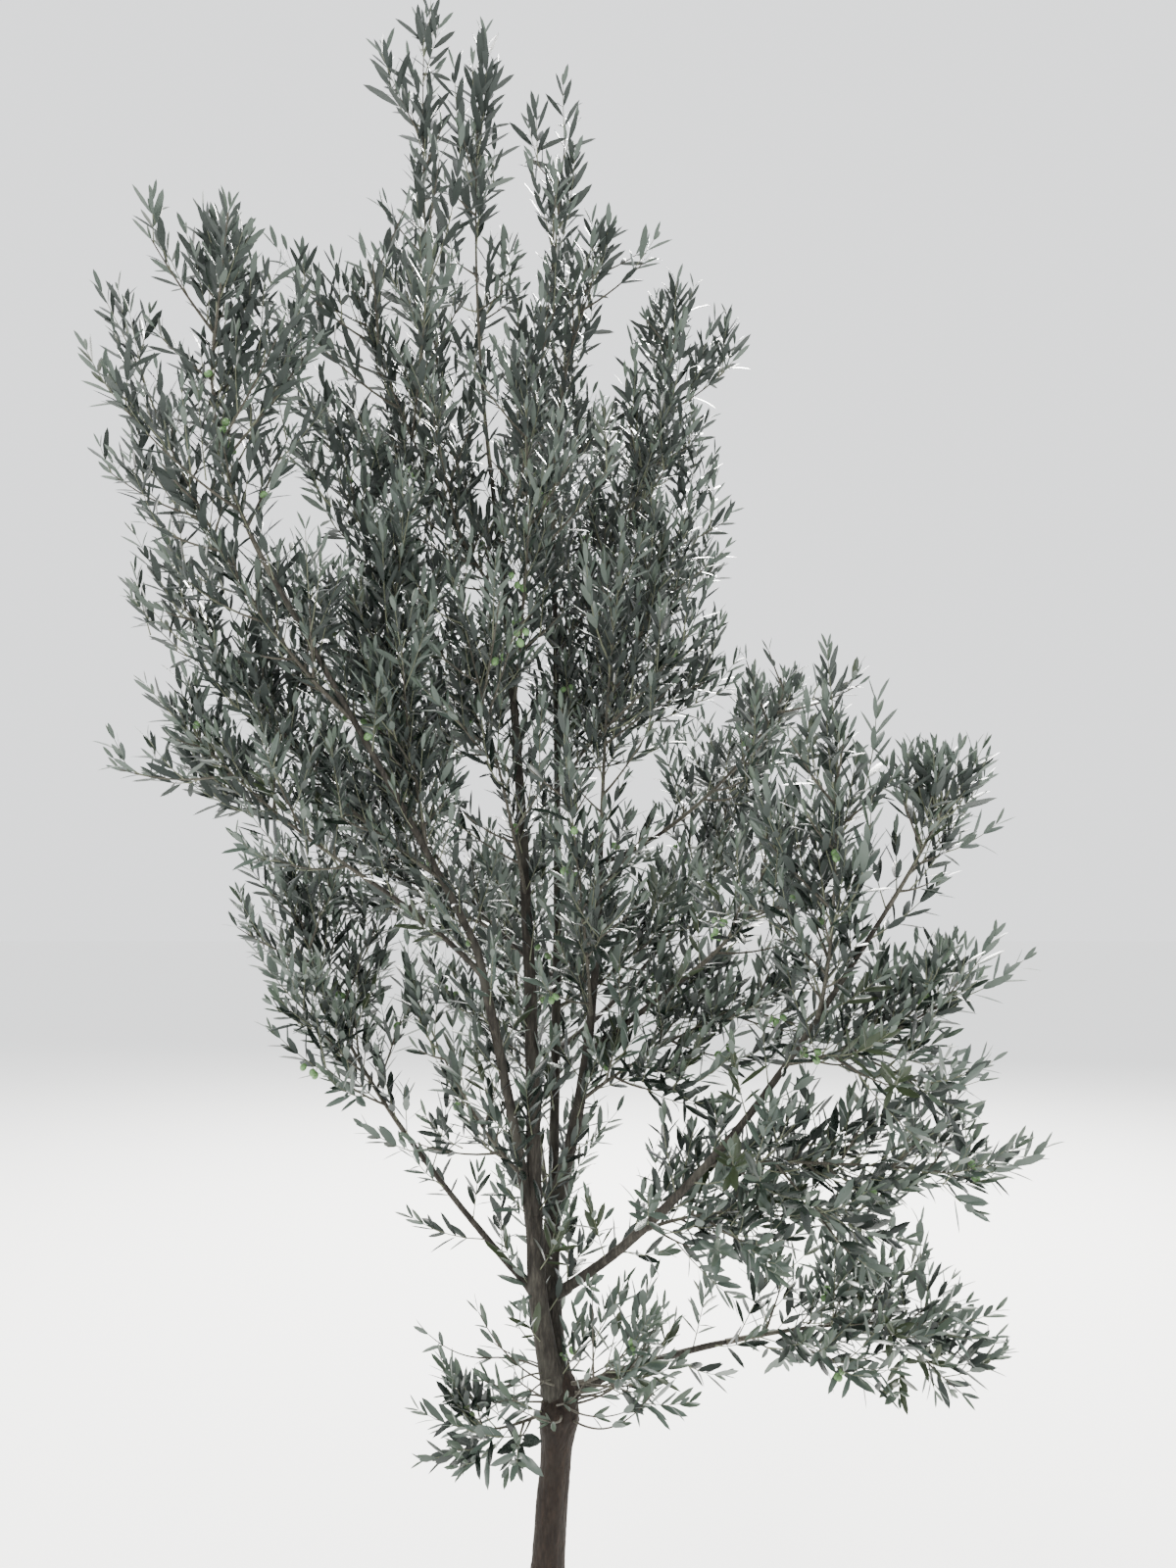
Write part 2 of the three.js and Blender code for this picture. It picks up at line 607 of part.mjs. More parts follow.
function meshOf(name, solid, surface) {
  const geometry = geometryOf(solid);
  geometry.computeVertexNormals();
  const mesh = new THREE.Mesh(geometry, new THREE.MeshStandardMaterial(surface));
  mesh.name = name;
  return mesh;
}

const tree = new THREE.Group();
const made = [];
for (const name of limbs.keys()) {
  tree.add(meshOf(name, fittedLimb(name, made), name === "trunk" ? TRUNK_BARK : BOUGH_BARK));
  made.push(name);
}
for (const mass of masses) tree.add(meshOf(mass.name, massSolid(mass), FOLIAGE));

export default tree;
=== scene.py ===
import math
from types import SimpleNamespace

import bpy
import numpy as np
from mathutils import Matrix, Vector, noise


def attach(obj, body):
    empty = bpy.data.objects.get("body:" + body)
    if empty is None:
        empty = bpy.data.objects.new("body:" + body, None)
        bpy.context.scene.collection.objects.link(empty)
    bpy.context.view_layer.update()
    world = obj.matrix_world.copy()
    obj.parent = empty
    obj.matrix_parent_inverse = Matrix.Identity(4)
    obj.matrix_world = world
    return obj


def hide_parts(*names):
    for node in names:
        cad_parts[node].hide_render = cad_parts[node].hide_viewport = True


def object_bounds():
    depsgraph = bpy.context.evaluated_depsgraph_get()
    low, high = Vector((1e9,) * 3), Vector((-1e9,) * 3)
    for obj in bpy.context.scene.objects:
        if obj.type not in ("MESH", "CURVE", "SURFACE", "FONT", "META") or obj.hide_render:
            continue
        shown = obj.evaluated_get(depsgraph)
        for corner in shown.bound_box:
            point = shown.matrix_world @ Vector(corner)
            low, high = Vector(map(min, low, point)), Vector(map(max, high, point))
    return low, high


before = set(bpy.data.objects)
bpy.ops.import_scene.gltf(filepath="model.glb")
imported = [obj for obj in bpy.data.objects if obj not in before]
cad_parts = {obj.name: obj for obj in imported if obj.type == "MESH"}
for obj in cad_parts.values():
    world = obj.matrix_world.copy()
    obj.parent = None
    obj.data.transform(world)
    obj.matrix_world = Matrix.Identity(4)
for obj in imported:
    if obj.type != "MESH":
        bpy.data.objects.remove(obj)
CAD_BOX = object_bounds()

# A young olive tree: bark, twigs, leaves and olives over the solids of its frame.
# The growing is worked out in millimetres, as in the part's source, and meshes are made in metres.
METRES = 0.001
UP = np.array([0.0, 0.0, 1.0])
RIGHT = np.array([1.0, 0.0, 0.0])
STEEP = 0.9  # rise of a direction from which its sides are taken from RIGHT and not from UP
FULL_TURN = 2 * math.pi

# Clearances of the source's rule
JOINT_GAP = 0.3
LIMB_CLEARANCE = 8.0
SHARE_MARGIN = 0.04

# The trunk, as in the source
TRUNK = {"height": 615.0, "radius": 31.0, "crown": 555.0, "lean": 45.0, "lean_power": 1.3}
ROOT_FLARE = {"radius": 27.0, "height": 120.0, "ribs": 5, "rib_depth": 0.13, "turn": 0.6}
FORK_KNOT = {"radius": 12.0, "z": 515.0, "height": 50.0}

# Limbs, as in the source: the limb that carries each, where, and bend or run, tip, radii
LIMBS = {
    "left_stem": ("trunk", 0.88, (-20, -22, 700), (-22, -30, 955), (25, 19)),
    "right_stem": ("trunk", 0.9, (0, 45, 800), (22, 50, 975), (23, 19)),
    "bough_a_lower": ("left_stem", 0.86, (-70, -70, 1200), (-145, -150, 1545), (13, 10)),
    "bough_a_upper": ("bough_a_lower", 1, 60, (-550, -450, 2320), (9.8, 5.5)),
    "bough_b": ("left_stem", 1, 900, (-145, 60, 2740), (18, 5.5)),
    "bough_left_low": ("bough_a_lower", 0.93, (-250, -190, 1620), (-370, -230, 1700), (6.5, 4.8)),
    "bough_left_hidden": ("left_stem", 0.62, (-190, 10, 950), (-330, 30, 1130), (8.5, 5.5)),
    "bough_c": ("right_stem", 0.8, (35, 150, 1750), (10, 160, 2600), (13.5, 5.5)),
    "bough_c_side": ("bough_c", 0.5, (150, 70, 1740), (280, 0, 1830), (7.5, 5)),
    "bough_d": ("right_stem", 0.97, (118, 20, 1240), (130, -100, 1790), (18, 5.5)),
    "bough_d_right": ("bough_d", 0.5, (220, -60, 1410), (330, -130, 1500), (8, 5.5)),
    "bough_back_high": ("bough_c", 0.66, (40, 290, 2150), (20, 380, 2360), (6.5, 4.8)),
    "bough_back_left": ("bough_c", 0.34, (-130, 270, 1570), (-290, 360, 1770), (7.5, 5)),
    "bough_back_right": ("bough_c", 0.24, (140, 250, 1370), (300, 370, 1560), (8, 5.2)),
    "bough_back_low": ("right_stem", 0.55, (10, 220, 900), (-40, 380, 1130), (9, 6)),
    "bough_e_lower": ("right_stem", 0.45, (205, -160, 915), (405, -285, 1180), (12.5, 8.5)),
    "bough_e_upper": ("bough_e_lower", 1, 180, (690, -470, 1640), (8.3, 4.6)),
    "bough_f": ("trunk", 0.91, (230, 40, 620), (420, 80, 645), (11, 6.5)),
}

# Masses, as in the source: the limb that carries each, its highest leaf tip and its spread.
# Where one grows out of its limb's side and not from the tip, where and the stem's bend follow.
MASSES = {
    "a_top": ("bough_a_upper", (-620, -480, 3100), 330),
    "a_left": ("bough_a_upper", (-880, -560, 2910), 300, 0.78, (-640, -430, 2250)),
    "a_inner": ("bough_a_upper", (-480, -230, 2760), 300, 0.5, (-290, -240, 2050)),
    "a_low": ("bough_a_upper", (-880, -270, 2440), 300, 0.42, (-500, -260, 1880)),
    "b_left": ("bough_b", (-500, -270, 3220), 330, 0.8, (-270, 0, 2600)),
    "top_left": ("bough_b", (-335, 60, 4040), 260, 0.88, (-330, 20, 2780)),
    "top_middle": ("bough_b", (-180, 60, 3950), 260),
    "top_right": ("bough_b", (50, 80, 3820), 250, 0.88, (-20, 90, 2850)),
    "b_front": ("bough_b", (-230, -330, 2500), 340, 0.4, (-70, -170, 1850)),
    "b_middle": ("bough_b", (-40, -230, 2920), 310, 0.66, (-40, -150, 2330)),
    "b_back": ("bough_b", (-400, 180, 2620), 320, 0.55, (-200, 60, 2100)),
    "left_low": ("bough_left_low", (-830, -350, 2120), 330),
    "left_hidden": ("bough_left_hidden", (-640, 60, 1800), 340),
    "left_stem": ("bough_a_lower", (-320, -60, 1500), 240, 0.25, (-150, -60, 1140)),
    "c_top": ("bough_c", (170, 60, 3470), 330),
    "c_right": ("bough_c", (350, 100, 3290), 280, 0.82, (240, 150, 2600)),
    "c_middle": ("bough_c", (400, 40, 2800), 330, 0.62, (150, 110, 2080)),
    "c_side": ("bough_c_side", (610, -210, 2300), 300),
    "c_low": ("bough_c", (370, 90, 1760), 300, 0.3, (170, 110, 1470)),
    "d_top": ("bough_d", (190, -180, 2520), 340),
    "d_right": ("bough_d_right", (480, -310, 1950), 300),
    "d_low": ("bough_d", (660, -130, 1530), 280, 0.36, (230, -60, 1330)),
    "d_front": ("bough_d", (40, -380, 2050), 300, 0.6, (100, -190, 1560)),
    "back_high": ("bough_back_high", (20, 500, 3200), 320),
    "back_left": ("bough_back_left", (-520, 480, 2620), 330),
    "back_right": ("bough_back_right", (600, 480, 2330), 330),
    "back_low": ("bough_back_low", (-160, 760, 1850), 350),
    "back_middle": ("bough_c", (310, 420, 2940), 320, 0.7, (150, 300, 2300)),
    "back_side": ("bough_back_left", (-620, 330, 2000), 320, 0.5, (-330, 300, 1660)),
    "e_top": ("bough_e_upper", (850, -520, 2000), 260),
    "e_front": ("bough_e_upper", (570, -600, 2130), 240, 0.62, (590, -490, 1580)),
    "e_side": ("bough_e_upper", (930, -490, 1540), 260, 0.42, (640, -400, 1350)),
    "e_low": ("bough_e_lower", (1010, -400, 1100), 260, 0.86, (560, -330, 1140)),
    "e_hanging": ("bough_e_lower", (760, -310, 1010), 250, 0.5, (340, -110, 1000)),
    "f": ("bough_f", (1030, 0, 700), 250),
    "fork_left": ("trunk", (-260, -70, 620), 220, 0.87, (-110, -60, 490)),
    "fork_right": ("trunk", (270, -90, 820), 220, 0.95, (130, -80, 600)),
}
# The pieces that the foliage is joined into
GROUPS = {
    "left": ("a_top", "a_left", "a_inner", "a_low", "left_low", "left_hidden", "left_stem"),
    "top": ("top_left", "top_middle", "top_right", "b_left", "c_top", "c_right"),
    "middle": ("b_front", "b_middle", "b_back", "c_middle", "d_top", "d_front"),
    "right": ("c_side", "c_low", "d_right", "d_low", "f", "fork_left", "fork_right"),
    "back": ("back_high", "back_left", "back_right", "back_low", "back_middle", "back_side"),
    "low": ("e_top", "e_front", "e_side", "e_low", "e_hanging"),
}

# The source's growing rule
SPACE_STEPS = 10
LENGTH_POINTS = 201
SPACE = {"from": 0.17, "to": 0.86, "fullness": 0.7, "tip": 0.4}
STEM = {
    "foot_share": 0.9, "side_shoot": 4.5, "handle": 0.45,
    "bare": 0.05, "node_step": 94.0, "least_nodes": 5, "leafy_every": 3,
}
TWIG = {"step": 92.0, "most_steps": 3, "stub": 16.0, "open": 0.95, "lift": 0.2, "stretch": 1.4}
LEAF = {"long": 195.0, "wide": 56.0, "shortest": 0.8, "open": 0.68, "sink": 1.2, "room": 0.4}
# Where a leaf is tried for room: shares of its length, and of its width to one side
LEAF_PROBES = ((1, 0), (0.7, 0), (0.2, 0), (0.42, 0.5), (0.42, -0.5))
END_LEAF = {"long": 0.9, "lean": 0.15, "reach": 0.8}
TWIG_PROBES = np.array([[0.5], [1.0]])  # where the next step of a twig is tried for room
GOLDEN_TURN = math.radians(137.5)
DRAW = {"turn": 0, "length": 1, "lean": 3, "reach": 5}
KEY = {"twig_nodes": 5, "stem_pair": 40, "end_leaf": 90}
MIX = {"seed": 12.9898, "node": 78.233, "draw": 37.719, "scale": 43758.5453}


def unit(vectors):
    return vectors / np.linalg.norm(vectors, axis=-1, keepdims=True)


def lerp(low, high, share):
    return low + (high - low) * share


def chance(seed, node, draw):
    """The same keys always give the same number from 0 to 1."""
    mixed = math.sin(seed * MIX["seed"] + node * MIX["node"] + draw * MIX["draw"]) * MIX["scale"]
    return mixed - math.floor(mixed)


def turned(first, second, angle):
    """A first direction, turned by an angle towards a second one that is square to it."""
    return first * np.cos(angle) + second * np.sin(angle)


def across_and_over(directions, chords=None):
    """Two directions square to others and to each other, picked by chords where those are given."""
    steep = np.abs((directions if chords is None else chords)[..., 2:]) > STEEP
    across = unit(np.cross(np.where(steep, RIGHT, UP), directions))
    return across, np.cross(directions, across)


def aside(directions, angles):
    """Directions square to others, turned round them by angles."""
    return turned(*across_and_over(directions), np.asarray(angles)[..., None])


def circle(across, over, sides):
    """Directions all round, as many as a ring has sides."""
    angles = np.arange(sides) * FULL_TURN / sides
    return turned(across[..., None, :], over[..., None, :], angles[:, None])


def nearness(z, place):
    """From 1 at a place's height to 0 far above or below it."""
    return np.exp(-(((z - place["z"]) / place["height"]) ** 2))


class Bend:
    """A curve pulled to one side by its middle point, for one place or many along it."""

    def __init__(self, foot, middle, tip):
        self.foot = np.asarray(foot, float)
        self.middle = np.asarray(middle, float)
        self.tip = np.asarray(tip, float)

    def __getitem__(self, which):
        return Bend(self.foot[which], self.middle[which], self.tip[which])

    def point(self, t):
        t = np.asarray(t, float)[..., None]
        return self.foot * (1 - t) ** 2 + self.middle * 2 * t * (1 - t) + self.tip * t * t

    def tangent(self, t):
        t = np.asarray(t, float)[..., None]
        return unit((self.middle - self.foot) * (1 - t) + (self.tip - self.middle) * t)

    def length(self):
        points = self.point(np.linspace(0, 1, LENGTH_POINTS))
        return np.linalg.norm(np.diff(points, axis=0), axis=1).sum()


class Limb(Bend):
    def __init__(self, foot, middle, tip, radii):
        super().__init__(foot, middle, tip)
        self.radii = radii

    def radius(self, t):
        return lerp(*self.radii, np.asarray(t))


class Trunk:
    """The trunk's line and radius, from 0 at the ground to 1 at its top."""

    def point(self, t):
        z = np.asarray(t, float) * TRUNK["height"]
        x = TRUNK["lean"] * (np.maximum(z, 0) / TRUNK["height"]) ** TRUNK["lean_power"]
        return np.stack([x, np.zeros_like(x), z], axis=-1)

    def radius(self, t):
        z = np.asarray(t) * TRUNK["height"]
        flare = ROOT_FLARE["radius"] * np.exp(-z / ROOT_FLARE["height"])
        knot = FORK_KNOT["radius"] * nearness(z, FORK_KNOT)
        over = np.maximum(0, z - TRUNK["crown"]) / (TRUNK["height"] + 1 - TRUNK["crown"])
        return (TRUNK["radius"] + flare + knot) * np.sqrt(1 - over * over)


def make_limbs():
    limbs = {"trunk": Trunk()}
    for name, (carrier_name, at, bend, tip, radii) in LIMBS.items():
        carrier = limbs[carrier_name]
        foot = carrier.point(at)
        if np.isscalar(bend):
            onward = carrier.tangent(1)
            foot = foot + onward * JOINT_GAP
            bend = foot + onward * bend
        limbs[name] = Limb(foot, bend, tip, radii)
    return limbs


class Paths:
    """Straight stretches that stand for curves, to measure how near points come to each of them."""

    def __init__(self, paths):
        self.start = np.concatenate([points[:-1] for points, _ in paths])
        self.step = np.concatenate([np.diff(points, axis=0) for points, _ in paths])
        self.radius = np.concatenate([radii[:-1] for _, radii in paths])
        self.growth = np.concatenate([np.diff(radii) for _, radii in paths])
        counts = [len(radii) - 1 for _, radii in paths]
        self.first = np.concatenate([[0], np.cumsum(counts)[:-1]])
        self.square = (self.step**2).sum(axis=1)

    def measure(self, points):
        offset = points[:, None, :] - self.start
        t = np.clip((offset * self.step).sum(axis=2) / self.square, 0, 1)
        distance = np.linalg.norm(offset - t[..., None] * self.step, axis=2)
        return distance, self.radius + t * self.growth

    def shares(self, points):
        distance, radius = self.measure(points)
        return np.minimum.reduceat(distance / radius, self.first, axis=1)

    def gap(self, points):
        distance, radius = self.measure(points)
        return (distance - radius).min(axis=1)


def path_of(curve, radius_at):
    t = np.arange(SPACE_STEPS + 1) / SPACE_STEPS
    return curve.point(t), radius_at(t)


# Finer growth: each place of a leaf in the source carries a spray, and between the source's twigs
# grow more of them by the same rule. Lengths are in millimetres.
FINE = {
    "twigs_between": 2,
    "reach": (0.55, 1.25),  # of those twigs, as shares of the room round the stem
    "step": 46.0,  # between the places along a twig that are tried for room
    "most_steps": 9,
    "spray_step": (42.0, 62.0),  # between sprays, low in the crown and at its top
    "top_share": 0.9,  # of the finer shoots that grow at the top
    "long": (0.5, 1.15),  # length of a spray, as a share of the source's leaf
    "lean": (0.75, 1.3),  # how far a spray leans out, as a share of that leaf's lean
    "shorter": (1.0, 0.72, 0.5),  # lengths tried in turn, as shares
    "probe": 0.55,  # where a spray is tried for room, besides at its tip
    "lift": (0.4, 1.4),  # how far sprays turn up, low in the crown and at its top
    "margin": -0.25,  # how far a spray may reach into the next mass's space
    "clearance": 3.0,  # from a spray to a limb's bark
}
CROWN = {"low": 900.0, "high": 3600.0}
# How many of its finer shoots a mass grows, where that is fewer or more than usual
FULLNESS = {
    "a_top": 0.8, "a_left": 0.75, "a_inner": 1.7, "a_low": 1.2, "left_low": 1.2, "left_stem": 0.5,
    "top_left": 0.4, "top_middle": 0.35, "top_right": 0.45, "b_front": 0.55, "b_middle": 0.75,
    "c_top": 0.6, "c_middle": 1.2, "c_side": 0.5, "d_top": 0.65, "d_right": 0.7, "d_low": 1.1,
    "d_front": 0.5, "back_high": 0.65, "back_right": 0.7, "e_top": 0.6, "e_front": 0.9,
    "e_side": 1.1, "e_low": 1.2, "e_hanging": 1.3, "fork_left": 0.3, "fork_right": 0.3,
}
# Masses whose finer shoots reach out of their space, by this share
WIDER = {"a_inner": 1.45, "b_left": 1.35, "b_middle": 1.2, "b_back": 1.2}
# How far under a mass's top its shoots end, to leave room for leaves, where it shows as outline
SKYLINE = {
    "a_top": 60.0, "a_left": 20.0, "b_left": 120.0, "c_top": 60.0, "c_right": 30.0,
    "c_side": 130.0, "e_top": 60.0, "back_right": 70.0,
}
LEAST_CUT = 0.35  # a shoot that would be cut to less than this share of its length is left out
# Long shoots that curve out of a mass's stem and rise free above the rest
LEADER = {
    "count": 5,
    "along": (0.4, 0.98),  # the stem
    "long": (200.0, 330.0),
    "out": (0.15, 0.6),  # as shares of the room round the stem
    "bend": 0.25,  # share of the rise at the middle point
    "spread": 1.15,  # how much further out the tip is than the middle point
    "probes": (0.6, 1.0),
    "most_share": 1.6,
    "radii": (2.3, 0.8),
}
SUNK_ROOT = 0.8  # share of a limb's radius at which a shoot in its bark begins
# Short shoots on the bark of limbs. Their tone is that of a spray halfway out in its mass, with the
# painted shade found there.
LIMB_SHOOT = {
    "step": 50.0, "bare": 70.0, "open": 0.95, "depth": 0.5, "most_share": 1.45, "long": (0.55, 1.15),
}
# Thin bare shoots that curl out of the knot at the fork. Their stretches are shares of their reach.
WIRE = {
    "count": 22,
    "height": (520.0, 600.0),
    "reach": (60.0, 150.0),
    "rise": (-0.15, 0.5),
    "end_rise": (0.1, 1.3),
    "curl": 0.75,
    "stretches": (0.6, 0.5, 0.5, 0.6),
    "radii": (2.6, 1.9, 1.1),
}
STEM_RADIUS = 1.6  # at a stem's tip
SPRAY = {"reach": 0.9, "sag": 0.14, "stray": 0.02, "radius": 1.5, "slimmer": 0.7, "tip_radius": 0.7}
FINE_TWIG = {"radii": (3.0, 1.3), "sag": 0.1}
BOW = 0.4  # bow of an upright shoot, to which a level one adds 1
# Shares of the sprays in deep, plain, silvery and olive green, low in the crown and at its top: more
# silvery low down as painted highlight, more deep green at the top as painted shade
HEIGHT_SHARES_WITH_PAINTED_LIGHT = np.array([(0.20, 0.26, 0.40, 0.14), (0.52, 0.34, 0.07, 0.07)])
# What those shares are multiplied by, deep inside a mass and at its outside: more deep green inside as
# painted shade, more silvery outside as painted light
DEPTH_PAINTED_SHADE_AND_LIGHT = np.array([(3.0, 1.3, 0.35, 0.7), (0.55, 0.9, 1.35, 1.2)])
SEED = 29


def height_share(points):
    """From 0 low in the crown to 1 near its top."""
    return np.clip((points[..., 2] - CROWN["low"]) / (CROWN["high"] - CROWN["low"]), 0, 1)


def lifted(roots, directions):
    return unit(directions + UP * lerp(*FINE["lift"], height_share(roots))[:, None])


def in_reach(points):
    """Whether points keep to the box of the source's solids."""
    low, high = np.array(CAD_BOX) / METRES
    return ((points >= low) & (points <= high)).all(axis=1)


def twig_heading(along, turn):
    return unit(turned(along, aside(along, turn), TWIG["open"]) + UP * TWIG["lift"])


class Mass:
    def __init__(self, index, name, limbs):
        carrier_name, top, self.spread, *shoot = MASSES[name]
        self.name = name
        self.index = index
        self.seed = index + 1
        self.top = np.array(top, float)
        self.fullness = FULLNESS.get(name, 1.0)
        self.wider = WIDER.get(name, 1.0)
        carrier = limbs[carrier_name]
        self.curve = self.stem_curve(carrier, *shoot)
        self.foot_radius = STEM["side_shoot"] if shoot else float(carrier.radius(1)) * STEM["foot_share"]

    def stem_curve(self, carrier, at=1, middle=None):
        foot = carrier.point(at)
        if middle is None:
            onward = carrier.tangent(1)
            foot = foot + onward * JOINT_GAP
            middle = foot + onward * STEM["handle"] * np.linalg.norm(foot - self.top)
        last = unit(self.top - middle)
        return Bend(foot, middle, self.top - last * END_LEAF["reach"] * LEAF["long"])

    def room(self, t):
        """How far the mass's space reaches from its stem."""
        swell = np.sin(np.pi * lerp(SPACE["from"], SPACE["to"], t))
        return self.spread * swell ** SPACE["fullness"]

    def space(self):
        points, radii = path_of(self.curve, self.room)
        return np.vstack([points, self.top]), np.append(radii, SPACE["tip"] * self.spread)

    def node_count(self):
        leafy = self.curve.length() * (1 - STEM["bare"])
        return max(STEM["least_nodes"], int(leafy / STEM["node_step"]))

    def grown(self, roots, draws):
        """Which of some finer shoots grow, by one number from 0 to 1 for each."""
        return draws < self.fullness * lerp(1, FINE["top_share"], height_share(roots))


class Grower:
    """The source's rule: twigs as straight lines, and the places of its leaves."""

    def __init__(self, limbs):
        self.masses = [Mass(index, name, limbs) for index, name in enumerate(MASSES)]
        self.spaces = Paths([mass.space() for mass in self.masses])
        self.limb_paths = Paths([path_of(limb, limb.radius) for limb in limbs.values()])

    def free(self, mass, points, margin=SHARE_MARGIN, clearance=LIMB_CLEARANCE, most=1.0):
        """Which points lie in a mass's own space, clear of the other masses and of the limbs."""
        shares = self.spaces.shares(points)
        own = shares[:, mass.index].copy()
        shares[:, mass.index] = np.inf
        inside = (own <= most) & (shares.min(axis=1) >= own + margin)
        return inside & (self.limb_paths.gap(points) >= clearance)

    def try_leaf(self, plan, root, direction, stem, long):
        across = unit(np.cross(stem, direction))
        sunk = root - direction * LEAF["sink"]
        wide = LEAF["wide"] * long / LEAF["long"]
        points = np.array([sunk + direction * a * long + across * s * wide for a, s in LEAF_PROBES])
        found = plan.leaves if self.free(plan.mass, points).all() else plan.missed
        found.append((root, direction, long))

    def add_pair(self, plan, root, heading, turn, key):
        for half in (0, math.pi):
            direction = unit(turned(heading, aside(heading, turn + half), LEAF["open"]))
            share = chance(plan.mass.seed, key, DRAW["length"] + half)
            self.try_leaf(plan, root, direction, heading, lerp(LEAF["shortest"], 1, share) * LEAF["long"])

    def add_end_leaf(self, plan, root, heading, key):
        lean = aside(heading, FULL_TURN * chance(plan.mass.seed, key, DRAW["lean"]))
        direction = unit(heading + lean * END_LEAF["lean"])
        self.try_leaf(plan, root, direction, lean, END_LEAF["long"] * LEAF["long"])

    def grow_twig(self, plan, root, heading, reach, key):
        """A twig as long as it has room for, unless it would bear no leaf."""
        most = min(TWIG["most_steps"], math.floor(reach / TWIG["step"] + 0.5))
        leaves_before = len(plan.leaves)
        steps = 0
        step = heading * TWIG["step"]
        while steps < most and self.free(plan.mass, root + step * (steps + TWIG_PROBES)).all():
            steps += 1
        for i in range(1, steps + 1):
            place = root + heading * i * TWIG["step"]
            self.add_pair(plan, place, heading, (key + i) * math.pi / 2, key * KEY["twig_nodes"] + i)
        tip = root + heading * (steps * TWIG["step"] + TWIG["stub"])
        if steps > 0:
            self.add_end_leaf(plan, tip, heading, key)
        leafy = len(plan.leaves) > leaves_before
        if leafy:
            plan.twigs.append((root, tip))
        return leafy

    def plan(self, mass):
        plan = SimpleNamespace(mass=mass, twigs=[], leaves=[], missed=[])
        nodes = mass.node_count()
        for i in range(nodes):
            t = lerp(STEM["bare"], 1, (i + 1) / nodes)
            root = mass.curve.point(t)
            along = mass.curve.tangent(t)
            turn = i * GOLDEN_TURN + FULL_TURN * chance(mass.seed, 0, DRAW["turn"])
            room = mass.room(t) - LEAF["room"] * LEAF["long"]
            reach = room * lerp(1, TWIG["stretch"], chance(mass.seed, i, DRAW["reach"]))
            heading = twig_heading(along, turn)
            may_branch = (i + 1) % STEM["leafy_every"] != 0 and i < nodes - 1
            if not (may_branch and self.grow_twig(plan, root, heading, reach, i + 1)):
                self.add_pair(plan, root, along, turn, i + KEY["stem_pair"])
        self.add_end_leaf(plan, mass.curve.point(1), mass.curve.tangent(1), KEY["end_leaf"])
        return plan


class Axes:
    """Stems, twigs and shoots as curves, with radii, the mass of each and its leaves' tone."""

    def __init__(self):
        self.rows = []

    def add(self, kind, mass, curve, radii, tone=1):
        self.rows.append((kind, mass, curve.foot, curve.middle, curve.tip, radii, tone))

    def select(self, masses=MASSES, kind=None):
        rows = [row for row in self.rows if row[1].name in masses and kind in (None, row[0])]
        if not rows:
            return None
        kinds, _, foot, middle, tip, radii, tone = (np.array(column) for column in zip(*rows))
        return SimpleNamespace(kind=kinds, curve=Bend(foot, middle, tip), radii=radii, tone=tone)


def bowed(root, tip, sag):
    """A shoot's curve: it starts out lower than its chord and turns up towards its tip."""
    chord = tip - root
    length = np.linalg.norm(chord)
    level = 1 - abs(chord[2]) / length
    return Bend(root, (root + tip) / 2 - UP * sag * length * (BOW + level), tip)


